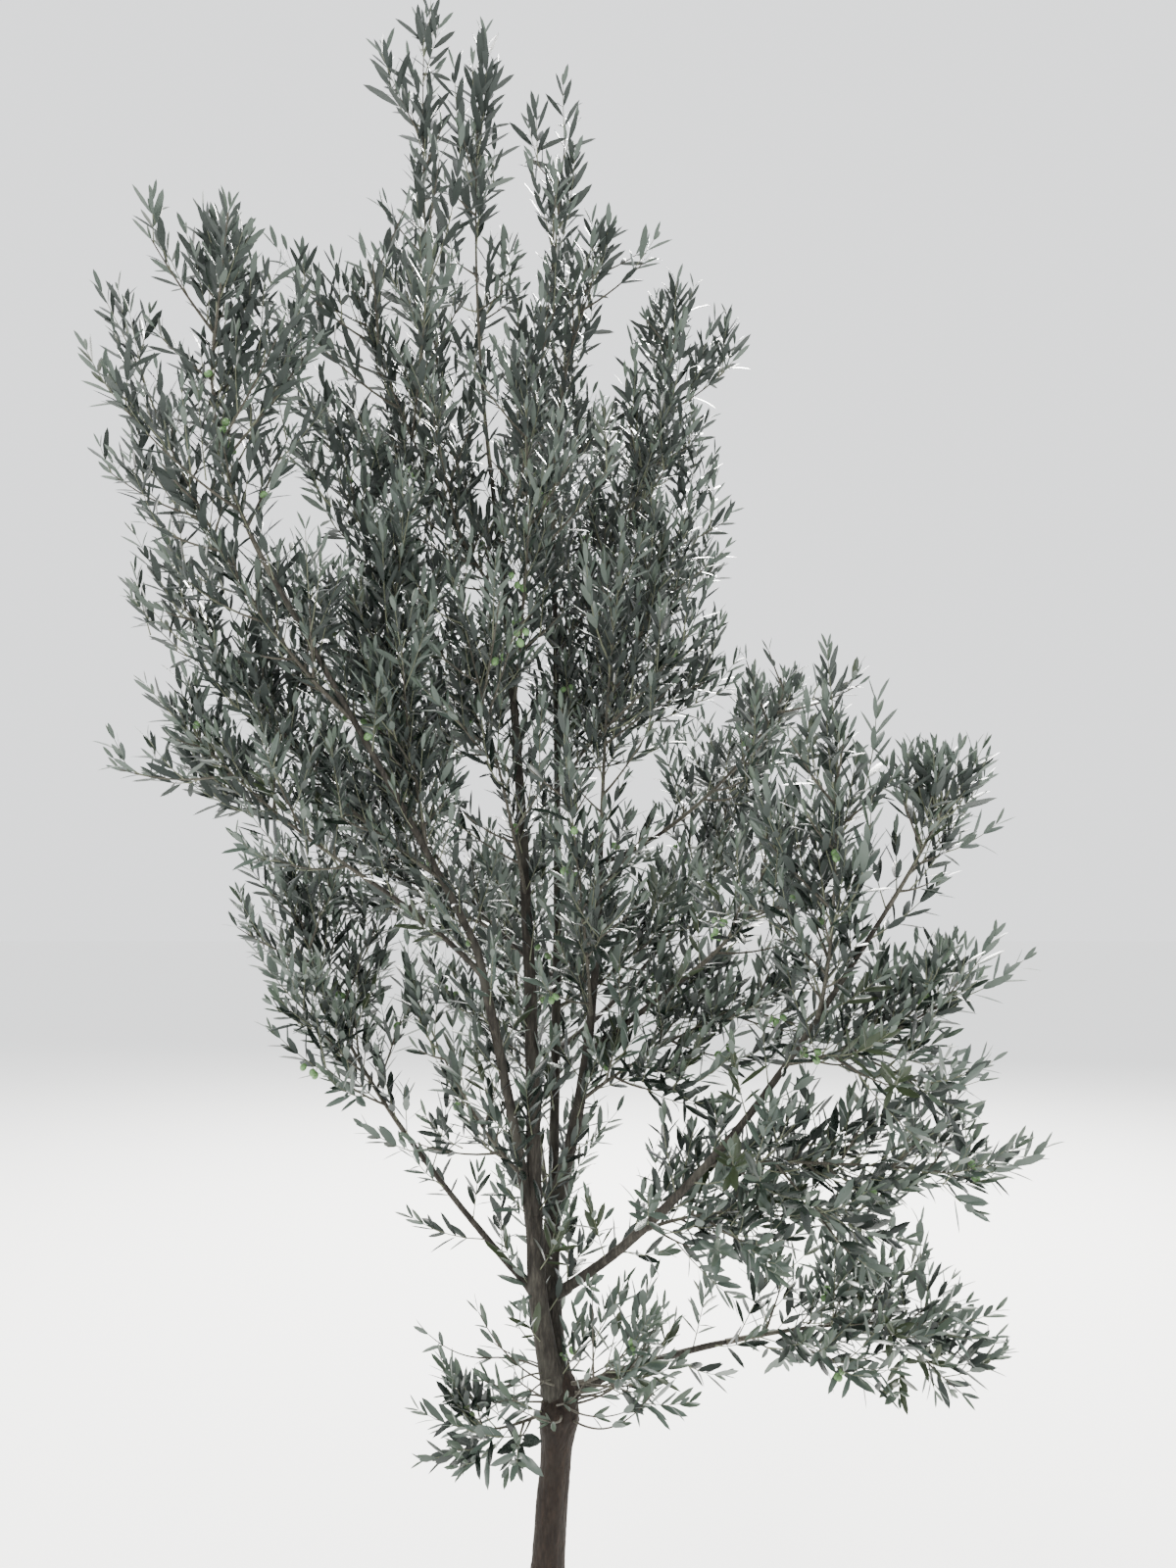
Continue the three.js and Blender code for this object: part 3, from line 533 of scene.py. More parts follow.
class Crown(Grower):
    """The source's rule carried on to finer shoots, each of them an axis that bears leaves."""

    def __init__(self, limbs, rng):
        super().__init__(limbs)
        self.rng = rng
        self.axes = Axes()
        for mass in self.masses:
            self.grow_mass(mass)
        for name in LIMBS:
            self.grow_limb_shoots(limbs[name])
        self.grow_wires(limbs["trunk"])
        self.cut_to_skyline()

    def grow_mass(self, mass):
        plan = self.plan(mass)
        self.axes.add("stem", mass, mass.curve, (mass.foot_radius, STEM_RADIUS))
        found = plan.leaves + (plan.missed if mass.fullness >= 1 else [])
        roots, directions, longs = (np.array(column) for column in zip(*found))
        self.grow_sprays(mass, roots, lifted(roots, directions), longs)
        carriers = [mass.curve]
        for root, tip in plan.twigs + self.finer_twigs(mass):
            carriers.append(bowed(root, tip, FINE_TWIG["sag"]))
            self.axes.add("twig", mass, carriers[-1], FINE_TWIG["radii"])
        self.spray_along(mass, carriers)
        if not mass.name.startswith("fork"):
            self.grow_leaders(mass)

    def roomy(self, mass, points, most):
        return self.free(mass, points, FINE["margin"], FINE["clearance"], most) & in_reach(points)

    def finer_twigs(self, mass):
        """Twigs between the source's nodes of one mass, by the source's rule."""
        count = mass.node_count() * (FINE["twigs_between"] + 1)
        places = np.array([i for i in range(1, count) if i % (FINE["twigs_between"] + 1)])
        t = lerp(STEM["bare"], 1, places / count)
        roots = mass.curve.point(t)
        turn = places * GOLDEN_TURN + self.rng.uniform(0, FULL_TURN)
        heading = twig_heading(mass.curve.tangent(t), turn)
        reach = mass.room(t) * mass.wider - LEAF["room"] * LEAF["long"]
        reach = reach * self.rng.uniform(*FINE["reach"], len(t))
        steps = np.arange(1, FINE["most_steps"] + 1) * FINE["step"]
        points = roots[:, None] + heading[:, None] * steps[:, None]
        free = self.free(mass, points.reshape(-1, 3), most=mass.wider).reshape(len(t), -1)
        free = free & (steps <= reach[:, None])
        length = np.cumprod(free, axis=1).sum(axis=1) * FINE["step"]
        grown = mass.grown(roots, self.rng.random(len(t))) & (length > 0)
        tips = roots + heading * (length + TWIG["stub"])[:, None]
        return list(zip(roots[grown], tips[grown]))

    def spiral(self, curve, first, step):
        """Places along a curve, its heading there, and the way out of each, in a spiral."""
        length = curve.length()
        t = np.arange(first, length, step) / length
        heading = curve.tangent(t)
        turn = self.rng.uniform(0, math.pi) + np.arange(len(t)) * GOLDEN_TURN
        return t, heading, aside(heading, turn)

    def spray_places(self, curve, denser):
        """Places for sprays along a twig or stem: root, heading and the way each leans out."""
        step = lerp(*FINE["spray_step"], float(height_share(curve.point(0.5)))) / max(1, denser)
        t, heading, out = self.spiral(curve, FINE["step"] / 2, step)
        return curve.point(t), heading, out

    def spray_along(self, mass, carriers):
        sets = [self.spray_places(curve, mass.fullness) for curve in carriers]
        roots, heading, out = (np.concatenate(arrays) for arrays in zip(*sets))
        kept = mass.grown(roots, self.rng.random(len(roots)))
        roots, heading, out = roots[kept], heading[kept], out[kept]
        lean = self.rng.uniform(*FINE["lean"], len(roots))[:, None] * LEAF["open"]
        directions = lifted(roots, unit(turned(heading, out, lean)))
        longs = LEAF["long"] * self.rng.uniform(*FINE["long"], len(roots))
        self.grow_sprays(mass, roots, directions, longs)

    def grow_sprays(self, mass, roots, directions, longs):
        """Sprays at places of one mass, each at the first of some lengths that has room."""
        waiting = np.arange(len(roots))
        for share in FINE["shorter"]:
            reach = (directions * longs[:, None] * share)[waiting]
            tips = roots[waiting] + reach
            points = np.concatenate([tips, roots[waiting] + reach * FINE["probe"]])
            free = self.roomy(mass, points, mass.wider).reshape(2, -1).all(axis=0)
            # How far out each tip sits in its mass, which sets how much painted shade its tone carries
            outer = self.spaces.shares(tips)[:, mass.index]
            for place, depth in zip(waiting[free], outer[free]):
                self.add_spray(mass, roots[place], directions[place], longs[place] * share, depth)
            waiting = waiting[~free]

    def add_spray(self, mass, root, direction, long, outer):
        tone = self.pick_tone_with_painted_light(root, outer)
        curve = bowed(root, root + direction * long * SPRAY["reach"], SPRAY["sag"])
        curve.middle = curve.middle + self.rng.normal(0, SPRAY["stray"] * long, 3)
        radius = SPRAY["radius"] * lerp(SPRAY["slimmer"], 1, long / LEAF["long"])
        self.axes.add("spray", mass, curve, (radius, SPRAY["tip_radius"]), tone)

    def pick_tone_with_painted_light(self, root, outer):
        """A shoot's tone, with painted shade and light: darker deep in its mass, where outer is near 0,
        and towards the crown's top, as painted shade; silvery outside and low down as painted light.
        """
        shares = lerp(*HEIGHT_SHARES_WITH_PAINTED_LIGHT, height_share(root)) * lerp(*DEPTH_PAINTED_SHADE_AND_LIGHT, min(1.0, outer))
        return self.rng.choice(len(shares), p=shares / shares.sum())

    def grow_leaders(self, mass):
        for i in range(LEADER["count"]):
            t = self.rng.uniform(*LEADER["along"])
            root = mass.curve.point(t)
            out = aside(mass.curve.tangent(t), i * GOLDEN_TURN + mass.seed)
            out = out * mass.room(t) * self.rng.uniform(*LEADER["out"])
            rise = UP * self.rng.uniform(*LEADER["long"])
            curve = Bend(root, root + out + rise * LEADER["bend"], root + out * LEADER["spread"] + rise)
            if self.roomy(mass, curve.point(LEADER["probes"]), LEADER["most_share"]).all():
                # A leader takes the tone of a mass's outside, with its painted light
                self.axes.add("leader", mass, curve, LEADER["radii"], self.pick_tone_with_painted_light(root, 1.0))

    def grow_limb_shoots(self, limb):
        """Each counts as a shoot of the mass that its tip is nearest to."""
        t, heading, out = self.spiral(limb, LIMB_SHOOT["bare"], LIMB_SHOOT["step"])
        roots = limb.point(t) + out * limb.radius(t)[:, None] * SUNK_ROOT
        directions = lifted(roots, turned(heading, out, LIMB_SHOOT["open"]))
        longs = LEAF["long"] * self.rng.uniform(*LIMB_SHOOT["long"], len(t))
        tips = roots + directions * longs[:, None]
        shares = self.spaces.shares(tips)
        clear = (self.limb_paths.gap(tips) >= LIMB_CLEARANCE) & in_reach(tips)
        for i in np.flatnonzero(clear & (shares.min(axis=1) <= LIMB_SHOOT["most_share"])):
            owner = self.masses[shares[i].argmin()]
            self.add_spray(owner, roots[i], directions[i], longs[i], LIMB_SHOOT["depth"])

    def grow_wires(self, trunk):
        """Each is two bends: out from the trunk and to one side, then up or down."""
        uniform = self.rng.uniform
        thick, thinner, thin = WIRE["radii"]
        for i in range(WIRE["count"]):
            t = uniform(*WIRE["height"]) / TRUNK["height"]
            turn = i * GOLDEN_TURN
            out = unit(np.array([math.cos(turn), math.sin(turn), uniform(*WIRE["rise"])]))
            root = trunk.point(t) + out * trunk.radius(t) * SUNK_ROOT
            stretches = uniform(*WIRE["reach"]) * np.array(WIRE["stretches"])
            side = aside(out, uniform(0, FULL_TURN)) * WIRE["curl"]
            middle = root + out * stretches[0]
            elbow = middle + unit(out + side) * stretches[1]
            onward = elbow + unit(elbow - middle) * stretches[2]
            tip = onward + unit(side + UP * uniform(*WIRE["end_rise"]) + out) * stretches[3]
            owner = self.masses[self.spaces.shares(tip[None])[0].argmin()]
            self.axes.add("wire", owner, Bend(root, middle, elbow), (thick, thinner))
            self.axes.add("tip", owner, Bend(elbow, onward, tip), (thinner, thin))

    def cut_to_skyline(self):
        """Cut the sprays and long shoots that stand over their mass's outline."""
        kept = []
        for kind, mass, foot, middle, tip, radii, tone in self.axes.rows:
            share = 1.0
            if kind in ("spray", "leader") and mass.name in SKYLINE:
                room = mass.top[2] - SKYLINE[mass.name] - foot[2]
                rise = tip[2] - foot[2]
                share = room / rise if rise > max(room, 0) else 1.0
            if share >= LEAST_CUT:
                ends = [foot + (end - foot) * share for end in (middle, tip)]
                kept.append((kind, mass, foot, *ends, radii, tone))
        self.axes.rows = kept


# Leaves: sizes in millimetres, and how they sit along a shoot from its foot to its tip
BLADE = {
    "heights": (900.0, 1900.0, 2700.0, 3500.0),
    "long": (66.0, 60.0, 62.0, 78.0),  # at those heights
    "wide": (0.25, 0.215, 0.205, 0.21),  # at those heights, as shares of the length
    "along": (0.0, 0.5, 1.0),  # a shoot
    "profile": (0.8, 1.05, 0.62),  # of the lengths of leaves there
    "open": (0.86, 0.3),  # angles off the shoot, at its foot and at its tip
    "open_power": 1.6,
    "root": 0.6,  # share of the shoot's radius at which a leaf begins
    "fold": (0.04, 0.34),  # limits of its height, as shares of half the width
    "curl": (-0.02, 0.2),  # limits of how far the tip bends down, as shares of the length
    "thick": 0.6,
    "lift": 0.55,  # how much upper sides turn to the sky
    "leader": 1.25,  # how much longer leaves are there
}
# How much leaves differ: limits of a share, or the spread of a lean
STRAY = {
    "step": (0.88, 1.15), "long": (0.8, 1.2), "wide": (0.85, 1.2),
    "turn": 0.16, "open": 0.13, "upward": (0.06, 0.08), "roll": 0.22,
}
BLADE_STATIONS = ((0.15, 0.58), (0.48, 1.0), (0.82, 0.70))
# For each kind of axis: the share that is bare, the step between its pairs as a share of a leaf,
# and the rings, sides and material of its bar
KINDS = {
    "stem": (0.6, 0.65, 22, 10, 0), "twig": (0.3, 0.65, 8, 6, 0), "spray": (0.08, 0.35, 5, 4, 1),
    "leader": (0.2, 0.38, 9, 5, 1), "wire": (0.9, 1.0, 9, 7, 0), "tip": (0.5, 0.5, 9, 7, 0),
}
BAR_FOOT = {"swell": 0.25, "fade": 8.0}
LEAST_PAIRS = 2  # of leaves on a shoot
YOUNG_FROM = (0.72, 0.93)  # along a shoot, low in the crown and at its top
YOUNG = 4  # the tone of the leaves from there on
UNDERSIDES = np.array([5, 5, 6, 6, 6])  # of the five tones; the darker underside goes with the deep and plain tones and so carries their painted shade


def blade_size(measure, points):
    """The length, or the width as a share of it, of the leaves that grow at points."""
    return np.interp(points[:, 2], BLADE["heights"], BLADE[measure])


def leaf_nodes(axes, rng):
    """Flat arrays over every leaf: its axis, its place along it, and which of its pair it is."""
    chord = np.linalg.norm(axes.curve.tip - axes.curve.foot, axis=1)
    bare, share = np.array([KINDS[kind][:2] for kind in axes.kind]).T
    step = share * blade_size("long", axes.curve.tip) * rng.uniform(*STRAY["step"], len(share))
    count = np.maximum(LEAST_PAIRS, ((1 - bare) * chord / step).astype(int))
    owner = np.repeat(np.arange(len(count)), count)
    node = np.arange(len(owner)) - np.repeat(np.cumsum(count) - count, count)
    t = lerp(bare[owner], 1, (node + 1) / count[owner])
    phase = rng.uniform(0, math.pi, len(count))[owner] + node * math.pi / 2
    owner, t, phase = (np.repeat(values, 2) for values in (owner, t, phase))
    return owner, t, phase + np.tile([0, math.pi], len(node))


def leaf_frames(axes, rng):
    """Root, direction, upper side, length and tone of every leaf on the axes."""
    owner, t, turn = leaf_nodes(axes, rng)
    curve = axes.curve[owner]
    heading = curve.tangent(t)
    total = len(owner)
    out = aside(heading, turn + rng.normal(0, STRAY["turn"], total))
    opening = lerp(*BLADE["open"], t ** BLADE["open_power"]) + rng.normal(0, STRAY["open"], total)
    upward = UP * rng.normal(*STRAY["upward"], total)[:, None]
    direction = unit(turned(heading, out, opening[:, None]) + upward)
    radius = lerp(*axes.radii[owner].T, t)
    root = curve.point(t) + out * (radius * BLADE["root"])[:, None]
    upper = heading - direction * (heading * direction).sum(axis=1, keepdims=True)
    upper = unit(upper) + UP * BLADE["lift"] + rng.normal(0, STRAY["roll"], (total, 3))
    upper = unit(upper - direction * (upper * direction).sum(axis=1, keepdims=True))
    share = np.interp(t, BLADE["along"], BLADE["profile"])
    share = share * np.where(axes.kind[owner] == "leader", BLADE["leader"], 1.0)
    long = blade_size("long", root) * share * rng.uniform(*STRAY["long"], total)
    tone = np.where(t > lerp(*YOUNG_FROM, height_share(root)), YOUNG, axes.tone[owner])
    return root, direction, upper, long, tone


def blade_mesh(leaves, rng):
    """Vertices, triangles and material numbers of leaves: a folded upper side over a flat lower one."""
    root, direction, upper, long, tone = leaves
    total = len(long)
    across = np.cross(upper, direction)
    half = long * blade_size("wide", root) * rng.uniform(*STRAY["wide"], total) / 2
    ridge = half * rng.uniform(*BLADE["fold"], total) + BLADE["thick"]
    curl = rng.uniform(*BLADE["curl"], total)

    def place(along, side, high=0.0):
        bent = upper * (ridge * high - curl * long * along**2)[:, None]
        return root + direction * (long * along)[:, None] + across * (half * side)[:, None] + bent

    foot, tip = place(0.0, 0), place(1.0, 0)
    over, under = [foot], [foot]
    for along, wide in BLADE_STATIONS:
        over += [place(along, -wide), place(along, 0, wide), place(along, wide)]
        under += [place(along, -wide), place(along, wide)]
    layers = over + [tip] + under + [tip]
    top = blade_side(0, 3)
    bottom = blade_side(len(over) + 1, 2)[:, ::-1]
    triangles = np.vstack([top, bottom]) + (np.arange(total) * len(layers))[:, None, None]
    is_top = np.arange(len(top) + len(bottom)) < len(top)
    numbers = np.where(is_top, tone[:, None], UNDERSIDES[tone][:, None])
    return np.stack(layers, axis=1).reshape(-1, 3), triangles.reshape(-1, 3), numbers.reshape(-1)


def blade_side(foot, wide):
    """One side of a leaf in triangles, with as many points at each station as it is wide."""
    tip = foot + 1 + wide * len(BLADE_STATIONS)
    faces = []
    for first in range(foot + 1, foot + wide):
        faces.append((foot, first, first + 1))
        for a in range(first, tip - wide, wide):
            faces += [(a, a + wide, a + wide + 1), (a, a + wide + 1, a + 1)]
        last = first + tip - wide - foot - 1
        faces.append((last, tip, last + 1))
    return np.array(faces)


def bar_triangles(rings, sides):
    """The triangles between rings of points, closed to one more point after the last ring."""
    faces = []
    for i in range(rings - 1):
        for j in range(sides):
            a, b = i * sides + j, i * sides + (j + 1) % sides
            faces += [(a, b, b + sides), (a, b + sides, a + sides)]
    last = (rings - 1) * sides
    return faces + [(last + j, last + (j + 1) % sides, rings * sides) for j in range(sides)]


def closed_bar(rings, tip, foot):
    """Vertices and triangles of rings of points, closed to a point at each end."""
    count, sides = rings.shape[:2]
    foot_cap = [((j + 1) % sides, j, count * sides + 1) for j in range(sides)]
    return np.vstack([rings.reshape(-1, 3), tip, foot]), np.array(bar_triangles(count, sides) + foot_cap)


def bars(curves, radii, rings, sides, swell=0.0):
    """Vertices and triangles of round bars along curves, each closed to a point at its tip."""
    total = len(radii)
    t = np.linspace(0, 1, rings)
    lines = curves[:, None]
    tangents = lines.tangent(t)
    radius = lerp(radii[:, :1], radii[:, 1:], t) * (1 + swell * np.exp(-t * BAR_FOOT["fade"]))
    ring = circle(*across_and_over(tangents, unit(lines.tip - lines.foot)), sides)
    vertices = lines.point(t)[:, :, None] + ring * radius[:, :, None, None]
    tips = (curves.tip + tangents[:, -1] * radii[:, 1:])[:, None]
    vertices = np.concatenate([vertices.reshape(total, -1, 3), tips], axis=1)
    starts = np.arange(total) * (rings * sides + 1)
    triangles = np.array(bar_triangles(rings, sides)) + starts[:, None, None]
    return vertices.reshape(-1, 3), triangles.reshape(-1, 3)


def joined(parts):
    """Several meshes, each of vertices, triangles and material numbers, as one."""
    starts = np.cumsum([0] + [len(vertices) for vertices, _, _ in parts])
    triangles = [faces + start for (_, faces, _), start in zip(parts, starts)]
    numbers = [np.broadcast_to(number, len(faces)) for _, faces, number in parts]
    return np.vstack([part[0] for part in parts]), np.vstack(triangles), np.concatenate(numbers)


def add_object(name, data):
    made = bpy.data.objects.new(name, data)
    bpy.context.scene.collection.objects.link(made)
    return made


def make_mesh(name, vertices, triangles, numbers, materials):
    mesh = bpy.data.meshes.new(name)
    mesh.vertices.add(len(vertices))
    mesh.vertices.foreach_set("co", (vertices * METRES).astype(np.float32).ravel())
    mesh.loops.add(triangles.size)
    mesh.loops.foreach_set("vertex_index", triangles.astype(np.int32).ravel())
    mesh.polygons.add(len(triangles))
    mesh.polygons.foreach_set("loop_start", np.arange(0, triangles.size, 3, dtype=np.int32))
    mesh.polygons.foreach_set("loop_total", np.full(len(triangles), 3, dtype=np.int32))
    mesh.polygons.foreach_set("material_index", numbers.astype(np.int32))
    mesh.polygons.foreach_set("use_smooth", np.ones(len(triangles), dtype=bool))
    for material in materials:
        mesh.materials.append(material)
    mesh.update(calc_edges=True)
    mesh.validate()
    return add_object(name, mesh)


# Bark: rings along the limbs, pushed in and out by noise that runs along the grain
BARK = {
    "ring_step": 7.0, "trunk_ring_step": 3.2, "least_rings": 8,
    "side_step": 2.6, "least_sides": 14, "most_sides": 112,
    "full_from": 26.0,  # radius from which the relief has its full depth
    "end": 0.5,
}
TRUNK_SKIN = 2.5  # how far the trunk's bark stands out of the solid
COLLAR = {"swell": 0.42, "fade": 2.0}
NECK = 40.0  # last stretch of a limb that bears masses, where it narrows to a stem's foot
BURL = {"z": 545.0, "height": 52.0}
# Layers of noise: how high each is, and its size across the grain and along it
SWELLS = ((2.4, 34.0, 150.0), (1.1, 15.0, 60.0), (0.45, 3.5, 9.0))
LUMPS = ((6.0, 24.0, 20.0), (2.6, 10.0, 9.0))
CRACKS = ((2.0, 6.5, 42.0),)
CRACK = {"depth": 1.5, "from": 0.62}


def grain(point, layers):
    x, y, z = point
    places = [Vector((x / across, y / across, z / along)) for _, across, along in layers]
    return sum(layer[0] * noise.noise(place) for layer, place in zip(layers, places))


def bark_relief(point, radius):
    """How far bark stands out: swellings, the cracks between them, and lumps where the trunk divides."""
    ridge = 1 - abs(grain(point, CRACKS))
    crack = CRACK["depth"] * max(0.0, ridge - CRACK["from"]) / (1 - CRACK["from"])
    relief = min(1.0, radius / BARK["full_from"]) * (grain(point, SWELLS) - crack)
    return relief + nearness(point[2], BURL) * grain(point, LUMPS)


def carried_frames(tangents):
    """Two directions across each tangent, carried along without twist."""
    across = [across_and_over(tangents[0])[0]]
    for tangent in tangents:
        across.append(unit(across[-1] - tangent * np.dot(across[-1], tangent)))
    return np.array(across[1:]), np.cross(tangents, across[1:])


def bark_tube(centres, tangents, radii, rib_depth=0.0):
    """Vertices and triangles of one limb with its bark, closed at both ends."""
    girth = FULL_TURN * float(np.median(radii))
    sides = int(np.clip(girth / BARK["side_step"], BARK["least_sides"], BARK["most_sides"]))
    out = circle(*carried_frames(tangents), sides)
    turn = ROOT_FLARE["ribs"] * np.arctan2(out[..., 1], out[..., 0]) + ROOT_FLARE["turn"]
    ribs = rib_depth * np.exp(-centres[:, None, 2] / ROOT_FLARE["height"]) * np.cos(turn)
    points = centres[:, None] + out * (radii[:, None] * (1 + ribs))[..., None]
    relief = [[bark_relief(point, radius) for point in ring] for ring, radius in zip(points, radii)]
    tip = centres[-1] + tangents[-1] * radii[-1] * BARK["end"]
    return closed_bar(points + out * np.array(relief)[..., None], tip, centres[0])


def trunk_tube(trunk):
    t = np.linspace(0, 1, int(TRUNK["height"] / BARK["trunk_ring_step"]))
    upright = np.tile(UP, (len(t), 1))
    radii = trunk.radius(t) + TRUNK_SKIN
    vertices, triangles = bark_tube(trunk.point(t), upright, radii, ROOT_FLARE["rib_depth"])
    vertices[:, 2] = np.clip(vertices[:, 2], 0, None)
    return vertices, triangles


def limb_tube(name, limbs):
    """A limb's bark, swollen where it leaves the limb that carries it."""
    carrier_name, at, bend, _, _ = LIMBS[name]
    limb = limbs[name]
    length = limb.length()
    t = np.linspace(0, 1, max(BARK["least_rings"], int(length / BARK["ring_step"])))
    radii = limb.radius(t)
    if not np.isscalar(bend):
        clear = np.maximum(0, t * length - float(limbs[carrier_name].radius(at)))
        radii = radii * (1 + COLLAR["swell"] * np.exp(-clear / (COLLAR["fade"] * radii[0])))
    if name in {row[0] for row in MASSES.values()}:
        close = np.clip((t * length - (length - NECK)) / NECK, 0, 1)
        radii = radii * lerp(1, STEM["foot_share"], close)
    return bark_tube(limb.point(t), limb.tangent(t), radii)


# Olives hang from some sprays, low enough, in ones to threes.
OLIVE = {
    "long": 19.0, "wide": 15.5, "sides": 12, "rings": 9, "blunt": 0.9,
    "share": 0.055, "highest": 2900.0, "together": (1, 4), "along": (0.15, 0.5),
    "hang": 1.2, "sunk": 0.47, "size": (0.85, 1.12),
}
STALK = {"long": 9.0, "radii": (0.9, 0.8), "rings": 3, "sides": 5}


def olive_mesh(axes, rng):
    """Olives and their stalks, under the nodes of some sprays."""
    curve = axes.select(kind="spray").curve
    chosen = (rng.random(len(curve.tip)) < OLIVE["share"]) & (curve.tip[:, 2] < OLIVE["highest"])
    chosen = np.repeat(np.flatnonzero(chosen), rng.integers(*OLIVE["together"], chosen.sum()))
    stalk_radii = np.array([STALK["radii"]])
    parts = []
    for index in chosen:
        spray = curve[index]
        t = rng.uniform(*OLIVE["along"])
        node = spray.point(t)
        side = aside(spray.tangent(t), rng.uniform(0, FULL_TURN))
        hang = unit(side - UP * OLIVE["hang"])
        end = node + hang * STALK["long"]
        stalk = Bend(node, (node + end) / 2 + side, end)[None]
        parts.append((*bars(stalk, stalk_radii, STALK["rings"], STALK["sides"]), 1))
        middle = end + hang * OLIVE["long"] * OLIVE["sunk"]
        parts.append((*ball(middle, hang, rng.uniform(*OLIVE["size"])), 0))
    return joined(parts)


def ball(middle, pole, size):
    """An olive: rings of points round its pole, closed at both ends."""
    angles = np.arange(1, OLIVE["rings"]) * math.pi / OLIVE["rings"]
    half = pole * OLIVE["long"] / 2 * size
    wide = np.sin(angles) ** OLIVE["blunt"] * OLIVE["wide"] / 2 * size
    out = circle(*across_and_over(pole), OLIVE["sides"])
    rings = middle - half * np.cos(angles)[:, None, None] + out * wide[:, None, None]
    return closed_bar(rings, middle + half, middle - half)


# Materials. Leaves and olives: colour, range of roughness, sheen and gloss
# leaf_deep, given more deep in masses and at the crown's top, is painted shade there; leaf_silver, given
# more low down and outside, is painted light; both also fall at random
LEAF_LOOKS = {
    "leaf_deep": ((0.007, 0.013, 0.009), (0.20, 0.36), 0.0, 0.5),
    "leaf_green": ((0.012, 0.021, 0.014), (0.22, 0.38), 0.0, 0.5),
    "leaf_silver": ((0.058, 0.080, 0.064), (0.22, 0.40), 0.0, 0.5),
    "leaf_olive": ((0.026, 0.038, 0.016), (0.22, 0.40), 0.0, 0.5),
    "leaf_young": ((0.055, 0.078, 0.054), (0.30, 0.48), 0.1, 0.4),
    "leaf_underside": ((0.034, 0.043, 0.038), (0.45, 0.65), 0.05, 0.3),
    "leaf_underside_pale": ((0.092, 0.115, 0.097), (0.5, 0.7), 0.1, 0.25),
}
OLIVE_LOOK = ((0.105, 0.205, 0.070), (0.26, 0.42), 0.0, 0.55)
LEAF_GRAIN = {"mottle": 220.0, "relief": 420.0, "strength": 0.25, "distance": 0.0006}
OLIVE_GRAIN = {"mottle": 350.0, "relief": 900.0, "strength": 0.15, "distance": 0.0004}
# Bark: colours from dark to light, lichen, the scale of the streaks and their depth
BARK_LOOKS = {
    "bark_trunk": (
        (0.0062, 0.0042, 0.0031), (0.0135, 0.0088, 0.0062), (0.030, 0.0205, 0.0145),
        (0.027, 0.0235, 0.0185), (120, 120, 26), 0.0022,
    ),
    "bark_bough": (
        (0.009, 0.0078, 0.0064), (0.025, 0.0218, 0.0178), (0.068, 0.061, 0.050),
        (0.060, 0.061, 0.049), (150, 150, 26), 0.0012,
    ),
    "twig_bark": (
        (0.026, 0.023, 0.018), (0.058, 0.053, 0.042), (0.125, 0.118, 0.096),
        (0.085, 0.088, 0.066), (300, 300, 60), 0.0005,
    ),
    "shoot_bark": (
        (0.075, 0.080, 0.050), (0.13, 0.14, 0.092), (0.22, 0.23, 0.165),
        (0.14, 0.15, 0.10), (400, 400, 90), 0.0003,
    ),
}
# Noise in the bark, and the places on its scale where the colours stand
BARK_NOISE = {
    "streaks": {"size": 1.0, "detail": 6.0, "roughness": 0.7},
    "patches": {"size": 14.0, "detail": 3.0, "scale": (1, 1, 0.6)},
    "fibres": {"size": 900.0, "detail": 3.0, "scale": (1, 1, 0.4)},
    "specks": {"size": 260.0, "detail": 4.0},
}
BARK_STOPS = {"streaks": (0.3, 0.5, 0.72), "patches": (0.5, 0.68), "specks": (0.4, 0.62)}
BARK_SKIN = {"rough": (0.72, 0.95), "gloss": 0.25, "most_lichen": 0.6}
BARK_BUMPS = {"streaks": 0.8, "fibres": 0.45, "fibre_depth": 0.4}  # strengths, and a share of depth
BLACK, WHITE = (0, 0, 0), (1, 1, 1)
# Sockets of a mix of colours, which share their names with others of that node
MIX_SOCKETS = {"first": 6, "second": 7, "result": 2}


class Nodes:
    """A material's nodes, added and wired by name."""

    def __init__(self, name):
        self.material = bpy.data.materials.new(name)
        self.material.use_nodes = True
        self.tree = self.material.node_tree

    def add(self, kind, **inputs):
        return self.feed(self.tree.nodes.new(kind), **inputs)

    def shade(self, **inputs):
        self.feed(self.tree.nodes["Principled BSDF"], **inputs)
        return self.material

    def feed(self, node, **inputs):
        for key, value in inputs.items():
            self.connect(value, node.inputs[key.replace("_", " ")])
        return node

    def connect(self, value, socket):
        if isinstance(value, bpy.types.NodeSocket):
            self.tree.links.new(value, socket)
        else:
            socket.default_value = value

    def noise(self, size, detail, scale=(1, 1, 1), roughness=0.6):
        spot = self.add("ShaderNodeTexCoord").outputs["Object"]
        place = self.add("ShaderNodeMapping", Vector=spot, Scale=scale).outputs["Vector"]
        node = self.add("ShaderNodeTexNoise", Vector=place, Scale=size, Detail=detail, Roughness=roughness)
        return node.outputs["Fac"]

    def ramp(self, factor, stops, *colours):
        node = self.add("ShaderNodeValToRGB", Fac=factor)
        elements = node.color_ramp.elements
        while len(elements) < len(stops):
            elements.new(0.5)
        for element, position, colour in zip(elements, stops, colours):
            element.position = position
            element.color = (*colour, 1.0)
        return node.outputs["Color"]

    def mix(self, factor, first, second):
        node = self.tree.nodes.new("ShaderNodeMix")
        node.data_type = "RGBA"
        self.feed(node, Factor=factor)
        self.connect(first, node.inputs[MIX_SOCKETS["first"]])
        self.connect(second, node.inputs[MIX_SOCKETS["second"]])
        return node.outputs[MIX_SOCKETS["result"]]

    def spread(self, factor, low, high):
        return self.add("ShaderNodeMapRange", Value=factor, To_Min=low, To_Max=high).outputs["Result"]

    def bump(self, height, strength, distance, **before):
        node = self.add("ShaderNodeBump", Height=height, Strength=strength, Distance=distance, **before)
        return node.outputs["Normal"]


